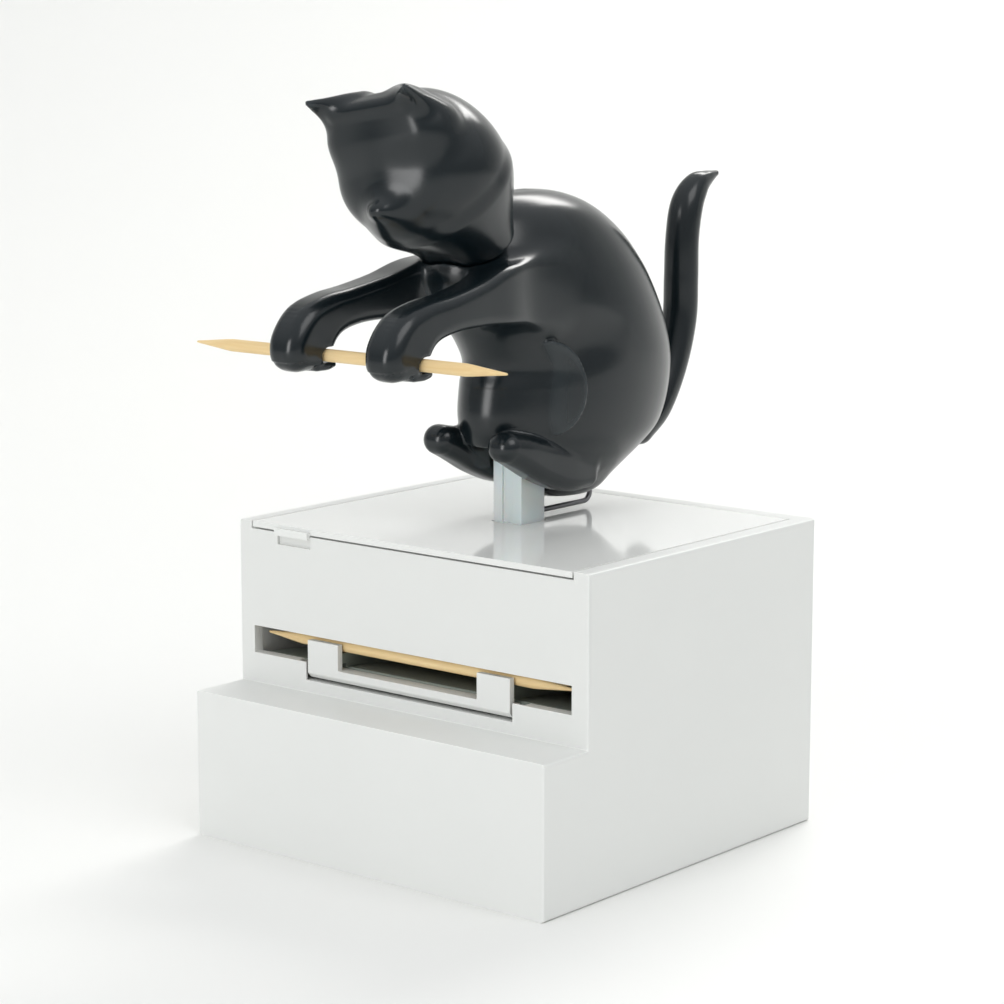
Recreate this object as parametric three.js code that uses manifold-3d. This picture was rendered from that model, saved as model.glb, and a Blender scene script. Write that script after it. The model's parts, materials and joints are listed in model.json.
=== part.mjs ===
// Toothpick dispenser: a stepped block full of toothpicks, with a kitten on a post that bows
// to the slot and comes back up with a toothpick across its paws.
// Millimetres, +Z up, the front faces -Y, the origin is the centre of the underside.

import * as THREE from 'three';
import { mergeVertices } from 'three/addons/utils/BufferGeometryUtils.js';
import Module from 'manifold-3d';

const wasm = await Module();
wasm.setup();

// Block
const upperDepth = 61.3;
const ledgeDepth = 10.7;
const ledgeHeight = 24.7;
const stepHeight = 27.3;
const wall = 3;
const frontWall = 2;
const edgeRound = 0.7;
const runningGap = 0.3;
const cutOverrun = 2;

// Toothpicks
const toothpickLength = 65;
const toothpickDiameter = 2;
const toothpickTaper = 8;
const toothpickPoint = 0.3;
const toothpickSpacing = 2.2;
const pickEndRoom = 1.5;
const sparePerLayer = 12;

// Slot in the upper front face
const slotEndClearance = 1.2;
const slotHeight = 4.6;
const slotRise = 5;
const pickRise = 3.3;

// Gate
const gateWidth = 43;
const gatePostWidth = 6.7;
const gateBarHeight = 2;
const gateDrop = 0.5;
const gatePostCover = 0.5;
const gatePostThickness = 1.1;
const gateBarDepth = 2.6;
const gateBarChamfer = 0.8;
const gateGap = 0.5;
const gatePinSetback = 1.5;
const gatePinDiameter = 0.9;
const gatePinClearance = 0.15;
const gateLugWidth = 2;
const gateSpringWire = 0.3;
const gateSpringTurns = 3;
const gateSpringBore = 1.2;
const gateSpringPitch = 0.4;
const gateSpringTang = 0.4;

// Lid
const lidThickness = 1;
const lidSideGap = 0.3;
const lidSeamGap = 0.3;
const lidSkirtDepth = 4;
const lidSkirtThickness = 1.2;
const lidShelfDepth = 1.6;
const tabWidth = 7.4;
const tabCentreX = -24.4;
const tabProjection = 0.8;
const tabDrop = 0.7;
const fingerNickHeight = 1.3;
const fingerNickDepth = 0.6;
const postPadDepth = 3;
const postPadMargin = 5;

// Post
const postWidth = 6;
const postDepth = 6.1;
const postSetback = 25.4;
const postGrooveWidth = 2.2;
const postGrooveDepth = 0.5;
const postForkWidth = 3.4;
const flangeThickness = 2;
const flangeWidth = 22;
const flangeDepth = 12;
const flangeScrewSpread = 15;

// Stop wire
const wireDiameter = 0.9;
const wireClearance = 0.3;
const wireEntry = 2.1;
const wireBend = 1.6;
const wireSocketDepth = 2.2;
const wireFloat = 0.5;

// Screws
const screwShank = 2;
const screwHead = 4.2;
const screwHeadHeight = 1.4;
const screwLength = 9;
const flangeScrewLength = 4.6;
const screwRecess = 0.8;
const screwRecessWidth = 0.7;

// Bottom cover and its bosses
const coverThickness = 2.4;
const coverGap = 0.4;
const bossDiameter = 7;
const bossHeight = 14;

// Magazine tray
const trayPlate = 1.6;
const trayPlateZ = 18;
const traySideGap = 0.5;
const trayFrontGap = 1;
const trayShelfDepth = 1.6;
const trayShelfThickness = 2;
const railWidth = 4;
const railCentreX = 17.6;
const railRise = 8;
const railNose = 1.3;
const trayBackRoom = 4.3;

// Pivot
const pinDiameter = 2;
const pinLength = 16;
const pinClearance = 0.3;
const springWire = 0.6;
const springTurns = 3;
const springTang = 1.5;
const kittenSlotGap = 0.4;

// Kitten
const kittenHeight = 70;
const kittenFloat = 3.09;
const pawSpread = 20;
const kittenSeam = 0.3;
const jointGap = 0.3;
const footSpread = 13.4;
const heldPickShift = -3.2;
const headRoll = 9;
const headYaw = 5;

// Facets
const roundSides = 20;
const smallSides = 10;
const torsoSides = 28;
const headSides = 22;
const limbSides = 14;
const cavitySides = 12;
const pickSides = 8;
const wireSides = 8;
const springSides = 5;
const springStepsPerTurn = 8;
const bendSteps = 5;
const weldTolerance = 1e-5;

const baseWidth = toothpickLength + 2 * (wall + pickEndRoom);
const baseHeight = ledgeHeight + stepHeight;
const backFaceY = (ledgeDepth + upperDepth) / 2;
const ledgeFaceY = -backFaceY;
const frontFaceY = ledgeFaceY + ledgeDepth;
const frontInnerY = frontFaceY + frontWall;
const sideInnerX = baseWidth / 2 - wall;
const backInnerY = backFaceY - wall;
const slotSillZ = ledgeHeight + slotRise;
const slotTopZ = slotSillZ + slotHeight;
const slotHalfWidth = toothpickLength / 2 + slotEndClearance;
const pickRadius = toothpickDiameter / 2;
const readyPickZ = slotSillZ + pickRise;
const gateFrontY = frontFaceY;
const gatePostBackY = gateFrontY + gatePostThickness;
const readyPickY = gatePostBackY + runningGap + pickRadius;
const lidTopZ = baseHeight;
const postFrontY = frontFaceY + postSetback;
const pivotY = postFrontY + postDepth / 2;
const torsoTopShare = [0.574, 0.015];
const torsoBottomShare = [-0.163, 0.167];
const wireReachShare = 0.2714;
const pivotZ = lidTopZ + kittenFloat - torsoBottomShare[0] * kittenHeight;
const wireTipY = pivotY + wireReachShare * kittenHeight;
const wireTopZ = lidTopZ + kittenFloat + wireEntry;

// Solids

function solid(geometry) {
  const bare = geometry.clone();
  bare.deleteAttribute('normal');
  bare.deleteAttribute('uv');
  const merged = mergeVertices(bare, weldTolerance);
  return new wasm.Manifold(new wasm.Mesh({
    numProp: 3,
    vertProperties: new Float32Array(merged.attributes.position.array),
    triVerts: new Uint32Array(merged.index.array),
  }));
}

function geometryOf(manifold) {
  const mesh = manifold.getMesh();
  const geometry = new THREE.BufferGeometry();
  geometry.setAttribute('position', new THREE.BufferAttribute(mesh.vertProperties, 3));
  geometry.setIndex(new THREE.BufferAttribute(mesh.triVerts, 1));
  const flat = geometry.toNonIndexed();
  flat.computeVertexNormals();
  return flat;
}

function joined(...pieces) {
  return pieces.reduce((sum, piece) => sum.add(piece));
}

function cut(body, ...tools) {
  return tools.reduce((rest, tool) => rest.subtract(tool), body);
}

function block(x0, x1, y0, y1, z0, z1) {
  const geometry = new THREE.BoxGeometry(x1 - x0, y1 - y0, z1 - z0);
  geometry.translate((x0 + x1) / 2, (y0 + y1) / 2, (z0 + z1) / 2);
  return solid(geometry);
}

// A cylinder between two points
function rod(from, to, radius, sides = roundSides) {
  const axis = new THREE.Vector3().subVectors(to, from);
  const geometry = new THREE.CylinderGeometry(radius, radius, axis.length(), sides);
  const turn = new THREE.Quaternion().setFromUnitVectors(
    new THREE.Vector3(0, 1, 0),
    axis.clone().normalize(),
  );
  geometry.applyQuaternion(turn);
  geometry.translate((from.x + to.x) / 2, (from.y + to.y) / 2, (from.z + to.z) / 2);
  return solid(geometry);
}

function rodX(x0, x1, y, z, radius, sides = roundSides) {
  return rod(new THREE.Vector3(x0, y, z), new THREE.Vector3(x1, y, z), radius, sides);
}

function rodZ(x, y, z0, z1, radius, sides = roundSides) {
  return rod(new THREE.Vector3(x, y, z0), new THREE.Vector3(x, y, z1), radius, sides);
}

// A profile of (y, z) points, extruded along X with rounded ends
function extrudedX(points, x0, x1, round = 0) {
  const shape = new THREE.Shape(points.map(([y, z]) => new THREE.Vector2(y, z)));
  const geometry = new THREE.ExtrudeGeometry(shape, {
    depth: x1 - x0 - 2 * round,
    bevelEnabled: round > 0,
    bevelThickness: round,
    bevelSize: round,
    bevelOffset: -round,
    bevelSegments: 2,
    curveSegments: 4,
  });
  geometry.applyMatrix4(new THREE.Matrix4().makeBasis(
    new THREE.Vector3(0, 1, 0),
    new THREE.Vector3(0, 0, 1),
    new THREE.Vector3(1, 0, 0),
  ));
  geometry.translate(x0 + round, 0, 0);
  return solid(geometry);
}

// A closed skin over rings of points, with one pole at each end
function skin(rings, firstPole, lastPole) {
  const sides = rings[0].length;
  const points = [firstPole, ...rings.flat(), lastPole];
  const index = [];
  const at = (ring, side) => 1 + ring * sides + (side % sides);
  const last = points.length - 1;
  for (let side = 0; side < sides; side += 1) {
    index.push(0, at(0, side + 1), at(0, side));
    index.push(last, at(rings.length - 1, side), at(rings.length - 1, side + 1));
    for (let ring = 0; ring + 1 < rings.length; ring += 1) {
      index.push(at(ring, side), at(ring, side + 1), at(ring + 1, side));
      index.push(at(ring, side + 1), at(ring + 1, side + 1), at(ring + 1, side));
    }
  }
  const geometry = new THREE.BufferGeometry();
  geometry.setAttribute('position', new THREE.Float32BufferAttribute(
    points.flatMap((point) => [point.x, point.y, point.z]),
    3,
  ));
  geometry.setIndex(index);
  const first = solid(geometry);
  if (first.volume() > 0) {
    return first;
  }
  geometry.setIndex(index.reverse());
  return solid(geometry);
}

// A ring of points around a path, wide along X and deep across it
function ringAround(centre, tangent, wide, deep, sides) {
  const across = new THREE.Vector3(1, 0, 0).addScaledVector(tangent, -tangent.x).normalize();
  const up = new THREE.Vector3().crossVectors(tangent, across);
  const ring = [];
  for (let step = 0; step < sides; step += 1) {
    const angle = (step / sides) * Math.PI * 2;
    ring.push(centre.clone()
      .addScaledVector(across, Math.cos(angle) * wide)
      .addScaledVector(up, Math.sin(angle) * deep));
  }
  return ring;
}

// A round wire through a row of points
function wireThrough(points, diameter, sides) {
  const rings = points.map((point, index) => {
    const before = points[Math.max(index - 1, 0)];
    const after = points[Math.min(index + 1, points.length - 1)];
    const tangent = new THREE.Vector3().subVectors(after, before).normalize();
    return ringAround(point, tangent, diameter / 2, diameter / 2, sides);
  });
  return skin(rings, points[0], points[points.length - 1]);
}

// Kitten forms. Their tables are shares of the kitten's height, measured from the pivot.

function kittenPoint(x, yShare, zShare) {
  return new THREE.Vector3(x, pivotY + yShare * kittenHeight, pivotZ + zShare * kittenHeight);
}

// Level rings up the body: height, centre, half depth and half width
const torsoShares = [
  [-0.16, 0.167, 0.079, 0.057],
  [-0.143, 0.16, 0.114, 0.083],
  [-0.114, 0.15, 0.158, 0.108],
  [-0.083, 0.15, 0.208, 0.13],
  [-0.05, 0.155, 0.26, 0.149],
  [-0.007, 0.163, 0.317, 0.166],
  [0.05, 0.17, 0.338, 0.175],
  [0.121, 0.181, 0.34, 0.179],
  [0.179, 0.188, 0.322, 0.18],
  [0.25, 0.15, 0.342, 0.179],
  [0.307, 0.114, 0.35, 0.176],
  [0.364, 0.082, 0.347, 0.169],
  [0.407, 0.062, 0.332, 0.16],
  [0.45, 0.048, 0.304, 0.147],
  [0.5, 0.035, 0.25, 0.125],
  [0.536, 0.025, 0.193, 0.098],
  [0.562, 0.018, 0.128, 0.065],
];

function torso(grow = 0) {
  const rings = torsoShares.map(([zShare, yShare, deepShare, wideShare]) => {
    const ring = [];
    for (let side = 0; side < torsoSides; side += 1) {
      const angle = (side / torsoSides) * Math.PI * 2;
      const point = kittenPoint(0, yShare, zShare);
      point.x += Math.cos(angle) * (wideShare * kittenHeight + grow);
      point.y += Math.sin(angle) * (deepShare * kittenHeight + grow);
      ring.push(point);
    }
    return ring;
  });
  const bottom = kittenPoint(0, torsoBottomShare[1], torsoBottomShare[0]);
  const top = kittenPoint(0, torsoTopShare[1], torsoTopShare[0]);
  return skin(rings, bottom, top);
}

const domeStepShares = [0.5, 0.85];
const bluntShares = [1, 1];

// A limb: stations of [x, y, z, half width, half depth] in shares, joined by a smooth path
function limb(stationShares, options = {}) {
  const { grow = 0, sides = limbSides, between = 2, domeShares = bluntShares } = options;
  const centres = stationShares.map(([xShare, yShare, zShare]) => (
    kittenPoint(xShare * kittenHeight, yShare, zShare)
  ));
  const radii = stationShares.map((row) => (
    new THREE.Vector3(row[3] * kittenHeight + grow, row[4] * kittenHeight + grow, 0)
  ));
  const path = new THREE.CatmullRomCurve3(centres, false, 'catmullrom');
  const sizes = new THREE.CatmullRomCurve3(radii, false, 'catmullrom');
  const count = (stationShares.length - 1) * between;
  const rings = [];
  const domeRings = (end, tangent, size, length) => domeStepShares.map((share) => {
    const narrow = Math.sqrt(1 - share * share);
    const centre = end.clone().addScaledVector(tangent, length * share);
    return ringAround(centre, tangent, size.x * narrow, size.y * narrow, sides);
  });
  for (let step = 0; step <= count; step += 1) {
    const t = step / count;
    const size = sizes.getPoint(t);
    rings.push(ringAround(path.getPoint(t), path.getTangent(t), size.x, size.y, sides));
  }
  const startTangent = path.getTangent(0);
  const endTangent = path.getTangent(1);
  const startLength = domeShares[0] * Math.min(radii[0].x, radii[0].y);
  const endSize = radii[radii.length - 1];
  const endLength = domeShares[1] * Math.min(endSize.x, endSize.y);
  const startDome = domeRings(centres[0], startTangent, radii[0], -startLength).reverse();
  const endDome = domeRings(centres[centres.length - 1], endTangent, endSize, endLength);
  const firstPole = centres[0].clone().addScaledVector(startTangent, -startLength);
  const lastPole = centres[centres.length - 1].clone().addScaledVector(endTangent, endLength);
  return skin([...startDome, ...rings, ...endDome], firstPole, lastPole);
}

// An ellipsoid: centre and half sizes in shares
function ellipsoid([x, y, z], [wide, deep, high], grow, sides) {
  const geometry = new THREE.SphereGeometry(1, sides, Math.round(sides / 2) + 2);
  geometry.rotateX(Math.PI / 2);
  geometry.scale(
    wide * kittenHeight + grow,
    deep * kittenHeight + grow,
    high * kittenHeight + grow,
  );
  const centre = kittenPoint(x * kittenHeight, y, z);
  geometry.translate(centre.x, centre.y, centre.z);
  return solid(geometry);
}

const skullCentreShare = [0, -0.335, 0.626];
const skullSizeShare = [0.188, 0.202, 0.158];
const crownCentreShare = [0, -0.34, 0.672];
const crownSizeShare = [0.148, 0.158, 0.146];
const muzzleCentreShare = [0, -0.458, 0.55];
const muzzleSizeShare = [0.066, 0.07, 0.046];
const chinCentreShare = [0, -0.405, 0.503];
const chinSizeShare = [0.088, 0.074, 0.052];
const faceFoldShare = -0.503;
const faceSlope = 0.26;
const neckShares = [
  [0, -0.285, 0.58, 0.165, 0.158],
  [0, -0.225, 0.508, 0.148, 0.128],
  [0, -0.18, 0.445, 0.122, 0.1],
];
const neckDomeShares = [0.4, 0.25];
// Balls that a form is stretched over: centre and radius
const browShares = [
  [-0.095, -0.498, 0.776, 0.018],
  [0.095, -0.498, 0.776, 0.018],
];
const foreheadShares = [
  [-0.1, -0.44, 0.722, 0.062],
  [0.1, -0.44, 0.722, 0.062],
];
const earShares = [
  [0.134, -0.546, 0.806, 0.008],
  [0.055, -0.45, 0.788, 0.03],
  [0.14, -0.4, 0.71, 0.04],
];
const forelegShares = [
  [-0.05, -0.016, 0.35, 0.05, 0.075],
  [-0.034, -0.13, 0.354, 0.058, 0.076],
  [-0.014, -0.23, 0.354, 0.057, 0.066],
  [-0.006, -0.33, 0.343, 0.051, 0.05],
  [0, -0.43, 0.331, 0.048, 0.043],
  [0, -0.506, 0.316, 0.048, 0.049],
  [0, -0.563, 0.287, 0.05, 0.066],
  [0, -0.587, 0.247, 0.051, 0.076],
  [0, -0.587, 0.222, 0.048, 0.07],
];
const forelegDomeShares = [0.6, 0.5];
const clawLipShares = [
  [0, -0.575, 0.205, 0.042, 0.0085],
  [0, -0.54, 0.205, 0.042, 0.0085],
  [0, -0.517, 0.207, 0.034, 0.0075],
];
const footShares = [
  [0.002, -0.166, -0.004, 0.044, 0.036],
  [0, -0.115, -0.022, 0.046, 0.043],
  [0, -0.045, -0.05, 0.046, 0.05],
  [0, 0.04, -0.075, 0.046, 0.055],
  [0, 0.115, -0.08, 0.042, 0.054],
];
const footDomeShares = [1, 0.8];
const thighCentreShare = [-0.087, 0.15];
const thighRadiusShare = 0.143;
const thighProudShare = 0.008;
const thighInnerShare = 0.07;
const tailShares = [
  [0, 0.47, -0.045, 0.036, 0.036],
  [0, 0.54, 0.01, 0.04, 0.04],
  [0, 0.6, 0.11, 0.042, 0.042],
  [0, 0.635, 0.22, 0.043, 0.043],
  [0, 0.64, 0.32, 0.043, 0.043],
  [0, 0.645, 0.42, 0.041, 0.041],
  [0, 0.668, 0.5, 0.037, 0.037],
  [0, 0.715, 0.546, 0.029, 0.029],
  [0, 0.77, 0.563, 0.017, 0.017],
];
const tailDomeShares = [1, 1.6];
const heldPickShare = [-0.549, 0.23];
const cavityShares = [
  [0, 0.24, 0.1, 0.1, 0.13],
  [0, 0.2, 0.2, 0.12, 0.17],
  [0, 0.12, 0.3, 0.12, 0.17],
  [0, 0.07, 0.4, 0.09, 0.12],
];
const cavityDomeShares = [0.7, 0.7];
const forkSweepShare = 0.066;

const shifted = (rows, x, side) => rows.map(([xShare, ...rest]) => (
  [side * (x / kittenHeight + xShare), ...rest]
));

const heldPickPlace = kittenPoint(0, heldPickShare[0], heldPickShare[1]);

function stretchedOver(rows, grow) {
  return wasm.Manifold.hull(rows.map(([x, y, z, radius]) => (
    ellipsoid([x, y, z], [radius, radius, radius], grow, smallSides)
  )));
}

// Room in front of the ears and behind the two cheek planes, which meet in a fold
function faceWedge(grow) {
  const half = kittenHeight / 2;
  const fold = pivotY + faceFoldShare * kittenHeight - grow;
  const shape = new THREE.Shape([
    new THREE.Vector2(0, fold),
    new THREE.Vector2(half, fold + half * faceSlope),
    new THREE.Vector2(half, half),
    new THREE.Vector2(-half, half),
    new THREE.Vector2(-half, fold + half * faceSlope),
  ]);
  const geometry = new THREE.ExtrudeGeometry(shape, { depth: kittenHeight, bevelEnabled: false });
  geometry.translate(0, 0, pivotZ);
  return solid(geometry);
}

// The head is turned and tilted a little to one side on its neck
function headForm(grow = 0) {
  const centre = kittenPoint(...skullCentreShare);
  const place = [centre.x, centre.y, centre.z];
  const upright = joined(
    ellipsoid(skullCentreShare, skullSizeShare, grow, headSides).intersect(faceWedge(grow)),
    ellipsoid(crownCentreShare, crownSizeShare, grow, headSides),
    ellipsoid(muzzleCentreShare, muzzleSizeShare, grow, limbSides),
    ellipsoid(chinCentreShare, chinSizeShare, grow, limbSides),
    stretchedOver([...browShares, ...foreheadShares], grow),
    stretchedOver(earShares, grow),
    stretchedOver(shifted(earShares, 0, -1), grow),
  );
  return joined(
    upright.translate(place.map((value) => -value)).rotate([0, -headRoll, headYaw]).translate(place),
    limb(neckShares, { grow, sides: headSides, domeShares: neckDomeShares }),
  );
}

function forelegForm(side, grow = 0) {
  const leg = limb(
    shifted(forelegShares, pawSpread / 2, side),
    { grow, domeShares: forelegDomeShares },
  );
  const lip = limb(shifted(clawLipShares, pawSpread / 2, side), { grow, sides: smallSides });
  return [leg, lip];
}

function foreleg(side) {
  const [leg, lip] = forelegForm(side);
  const notchRadius = pickRadius + runningGap;
  const reach = baseWidth / 2;
  const room = rodX(-reach, reach, heldPickPlace.y, heldPickPlace.z, notchRadius, limbSides);
  const notch = joined(
    room,
    block(
      -reach,
      reach,
      heldPickPlace.y,
      heldPickPlace.y + pawSpread,
      heldPickPlace.z - notchRadius,
      heldPickPlace.z + notchRadius,
    ),
  );
  return cut(joined(cut(leg, notch), cut(lip, room)), headForm(jointGap));
}

// The hind leg: a foot, and a round thigh that stands a little proud of the flank
function hindLegForm(side, grow = 0) {
  const centre = kittenPoint(0, thighCentreShare[0], thighCentreShare[1]);
  const innerX = side * (thighInnerShare * kittenHeight - grow);
  const outerX = side * kittenHeight;
  const disc = rodX(
    Math.min(innerX, outerX),
    Math.max(innerX, outerX),
    centre.y,
    centre.z,
    thighRadiusShare * kittenHeight + grow,
    torsoSides,
  );
  return joined(
    limb(shifted(footShares, footSpread / 2, side), { grow, domeShares: footDomeShares }),
    torso(thighProudShare * kittenHeight + grow).intersect(disc),
  );
}

function hindLeg(side) {
  return cut(hindLegForm(side), ...forelegForm(side, jointGap), pivotBore());
}

function tailForm(grow = 0) {
  return limb(tailShares, { grow, sides: cavitySides, domeShares: tailDomeShares });
}

function pivotBore() {
  const reach = pinLength / 2 + runningGap;
  return rodX(-reach, reach, pivotY, pivotZ, (pinDiameter + pinClearance) / 2, smallSides);
}

// Room in the kitten for the post, kept clear over the whole bow
function postRoom() {
  const half = postWidth / 2 + kittenSlotGap;
  const sweep = forkSweepShare * kittenHeight;
  const front = pivotY - kittenHeight;
  const backY = pivotY + postDepth / 2 + kittenSlotGap;
  return joined(
    rodX(-half, half, pivotY, pivotZ, sweep),
    block(-half, half, front, backY, lidTopZ, pivotZ),
    block(-half, half, front, pivotY, pivotZ - cutOverrun, pivotZ + sweep),
  );
}

function wireRoom() {
  const half = wireDiameter / 2 + wireClearance;
  return block(-half, half, wireTipY - 2 * half, wireTipY + half, lidTopZ, wireTopZ + half);
}

function kittenBody(side) {
  const half = kittenHeight;
  const keep = side > 0
    ? block(kittenSeam / 2, half, -half, half, 0, 3 * half)
    : block(-half, -kittenSeam / 2, -half, half, 0, 3 * half);
  const whole = cut(
    torso(),
    limb(cavityShares, { sides: cavitySides, domeShares: cavityDomeShares }),
    headForm(jointGap),
    ...forelegForm(side, jointGap),
    hindLegForm(side, jointGap),
    tailForm(jointGap),
    postRoom(),
    wireRoom(),
    pivotBore(),
  );
  return whole.intersect(keep);
}

// Toothpick centred on a point, along X
function toothpick(x, y, z) {
  const half = toothpickLength / 2;
  const shoulder = half - toothpickTaper;
  const profile = [
    [0, -half],
    [toothpickPoint, -half],
    [pickRadius, -shoulder],
    [pickRadius, shoulder],
    [toothpickPoint, half],
    [0, half],
  ].map(([radius, along]) => new THREE.Vector2(radius, along));
  const geometry = new THREE.LatheGeometry(profile, pickSides);
  geometry.rotateZ(-Math.PI / 2);
  geometry.translate(x, y, z);
  return solid(geometry);
}

// Block pieces

function profilePoints(inset, floorZ, topZ) {
  const stepY = frontFaceY + (inset ? frontWall : 0);
  return [
    [ledgeFaceY + inset, floorZ],
    [backFaceY - inset, floorZ],
    [backFaceY - inset, topZ],
    [stepY, topZ],
    [stepY, ledgeHeight - (inset ? frontWall : 0)],
    [ledgeFaceY + inset, ledgeHeight - (inset ? frontWall : 0)],
  ];
}

const bossX = sideInnerX - bossDiameter / 2 + runningGap;
const bossFrontY = ledgeFaceY + wall + bossDiameter / 2 - runningGap;
const bossBackY = backInnerY - bossDiameter / 2 + runningGap;
const bossPlaces = [
  ['front_left', -bossX, bossFrontY],
  ['front_right', bossX, bossFrontY],
  ['back_left', -bossX, bossBackY],
  ['back_right', bossX, bossBackY],
];
const bossFloorZ = coverThickness + runningGap;

const gateBottomZ = slotSillZ - gateDrop - gateBarHeight;
const gateNotchZ = gateBottomZ + gateBarHeight;
const gateTopZ = readyPickZ + gatePostCover;
const gateBarBackY = gateFrontY + gateBarDepth;
const gatePinY = gateFrontY + gatePinSetback;
const gatePinZ = gateBottomZ + gateBarHeight / 2;
const gateHalf = gateWidth / 2;
const gateRoomHalf = gateHalf + gateGap;
const gateSpringRoom = gateSpringPitch * gateSpringTurns + gateSpringWire + 2 * runningGap;
const gateSpringRadius = (gateSpringBore + gateSpringWire) / 2;
const gatePocketY = gatePinY - gateSpringRadius - gateSpringWire / 2 - gatePinClearance;
const gateLugX = gateRoomHalf + gateSpringRoom;

function baseHousing() {
  const outer = extrudedX(profilePoints(0, 0, baseHeight), -baseWidth / 2, baseWidth / 2, edgeRound);
  const inner = extrudedX(
    profilePoints(wall, -cutOverrun, baseHeight + cutOverrun),
    -sideInnerX,
    sideInnerX,
  );
  const lidRoom = block(
    -sideInnerX,
    sideInnerX,
    frontFaceY - cutOverrun,
    backInnerY,
    baseHeight - lidThickness - lidSeamGap,
    baseHeight + cutOverrun,
  );
  const slot = block(
    -slotHalfWidth,
    slotHalfWidth,
    frontFaceY - cutOverrun,
    frontInnerY + cutOverrun,
    slotSillZ,
    slotTopZ,
  );
  const gateRoom = block(
    -gateRoomHalf,
    gateRoomHalf,
    frontFaceY - cutOverrun,
    frontInnerY + cutOverrun,
    gateBottomZ - gateGap,
    slotTopZ,
  );
  const tabSpan = tabWidth / 2;
  const nickTopZ = baseHeight - lidThickness - lidSeamGap;
  const nick = block(
    tabCentreX - tabSpan,
    tabCentreX + tabSpan,
    frontFaceY - cutOverrun,
    frontFaceY + fingerNickDepth,
    nickTopZ - tabDrop - fingerNickHeight,
    nickTopZ,
  );
  let housing = cut(outer, inner, lidRoom, slot, gateRoom, nick);
  const shelfTopZ = baseHeight - lidThickness - lidSeamGap;
  housing = housing.add(block(
    -sideInnerX - cutOverrun / 2,
    sideInnerX + cutOverrun / 2,
    backInnerY - lidShelfDepth,
    backInnerY + wall / 2,
    shelfTopZ - lidShelfDepth * 2,
    shelfTopZ,
  ));
  for (const side of [-1, 1]) {
    const innerX = side * (sideInnerX - trayShelfDepth);
    const outerX = side * (sideInnerX + wall / 2);
    housing = housing.add(block(
      Math.min(innerX, outerX),
      Math.max(innerX, outerX),
      frontInnerY,
      backInnerY + wall / 2,
      trayPlateZ - trayShelfThickness,
      trayPlateZ,
    ));
    const lugX0 = side * gateLugX;
    const lugX1 = side * (gateLugX + gateLugWidth);
    const lug = block(
      Math.min(lugX0, lugX1),
      Math.max(lugX0, lugX1),
      frontFaceY + frontWall / 2,
      gatePinY + gateBarHeight,
      gateBottomZ - gateGap,
      gateNotchZ,
    );
    housing = housing.add(lug);
  }
  const pinHole = rodX(
    -gateLugX - gateLugWidth - cutOverrun,
    gateLugX + gateLugWidth + cutOverrun,
    gatePinY,
    gatePinZ,
    gatePinDiameter / 2 + gatePinClearance,
    smallSides,
  );
  housing = housing.subtract(pinHole);
  const springHouse = joined(...[-1, 1].map((side) => block(
    side > 0 ? gateRoomHalf - runningGap : -gateLugX,
    side > 0 ? gateLugX : -gateRoomHalf + runningGap,
    gatePocketY,
    frontInnerY + cutOverrun,
    gateBottomZ - gateGap,
    gateNotchZ + gateGap,
  )));
  housing = housing.subtract(springHouse);
  for (const [, x, y] of bossPlaces) {
    const boss = rodZ(x, y, bossFloorZ, bossFloorZ + bossHeight, bossDiameter / 2);
    const hole = rodZ(
      x,
      y,
      bossFloorZ - cutOverrun,
      screwLength + screwHeadHeight,
      screwShank / 2 + runningGap,
      smallSides,
    );
    housing = housing.add(boss).subtract(hole);
  }
  return housing;
}

function bottomCover() {
  let cover = block(
    -sideInnerX + coverGap,
    sideInnerX - coverGap,
    ledgeFaceY + wall + coverGap,
    backInnerY - coverGap,
    0,
    coverThickness,
  );
  for (const [, x, y] of bossPlaces) {
    const countersink = rodZ(x, y, -cutOverrun, screwHeadHeight + runningGap, screwHead / 2 + runningGap);
    const hole = rodZ(x, y, 0, coverThickness + cutOverrun, screwShank / 2 + runningGap, smallSides);
    cover = cut(cover, countersink, hole);
  }
  return cover;
}

// A screw pointing up, its head at z, with a cross recess below
function screw(x, y, z, length) {
  const head = rodZ(x, y, z, z + screwHeadHeight, screwHead / 2, roundSides);
  const shank = rodZ(x, y, z + screwHeadHeight / 2, z + length, screwShank / 2, smallSides);
  const arm = screwHead / 2 - screwRecessWidth / 2;
  const half = screwRecessWidth / 2;
  const cross = joined(
    block(x - arm, x + arm, y - half, y + half, z - cutOverrun, z + screwRecess),
    block(x - half, x + half, y - arm, y + arm, z - cutOverrun, z + screwRecess),
  );
  return cut(joined(head, shank), cross);
}

function feedGate() {
  const innerHalf = gateHalf - gatePostWidth;
  const bar = extrudedX(
    [
      [gateFrontY + gateBarChamfer, gateBottomZ],
      [gateBarBackY - gateBarChamfer, gateBottomZ],
      [gateBarBackY, gateBottomZ + gateBarChamfer],
      [gateBarBackY, gateNotchZ],
      [gateFrontY, gateNotchZ],
      [gateFrontY, gateBottomZ + gateBarChamfer],
    ],
    -gateHalf,
    gateHalf,
  );
  const postLeft = block(-gateHalf, -innerHalf, gateFrontY, gatePostBackY, gatePinZ, gateTopZ);
  const postRight = block(innerHalf, gateHalf, gateFrontY, gatePostBackY, gatePinZ, gateTopZ);
  const hole = rodX(
    -gateHalf - cutOverrun,
    gateHalf + cutOverrun,
    gatePinY,
    gatePinZ,
    gatePinDiameter / 2 + gatePinClearance,
    smallSides,
  );
  return cut(joined(bar, postLeft, postRight), hole);
}

function gatePin() {
  const reach = gateLugX + gateLugWidth;
  return rodX(-reach, reach, gatePinY, gatePinZ, gatePinDiameter / 2, smallSides);
}

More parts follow.
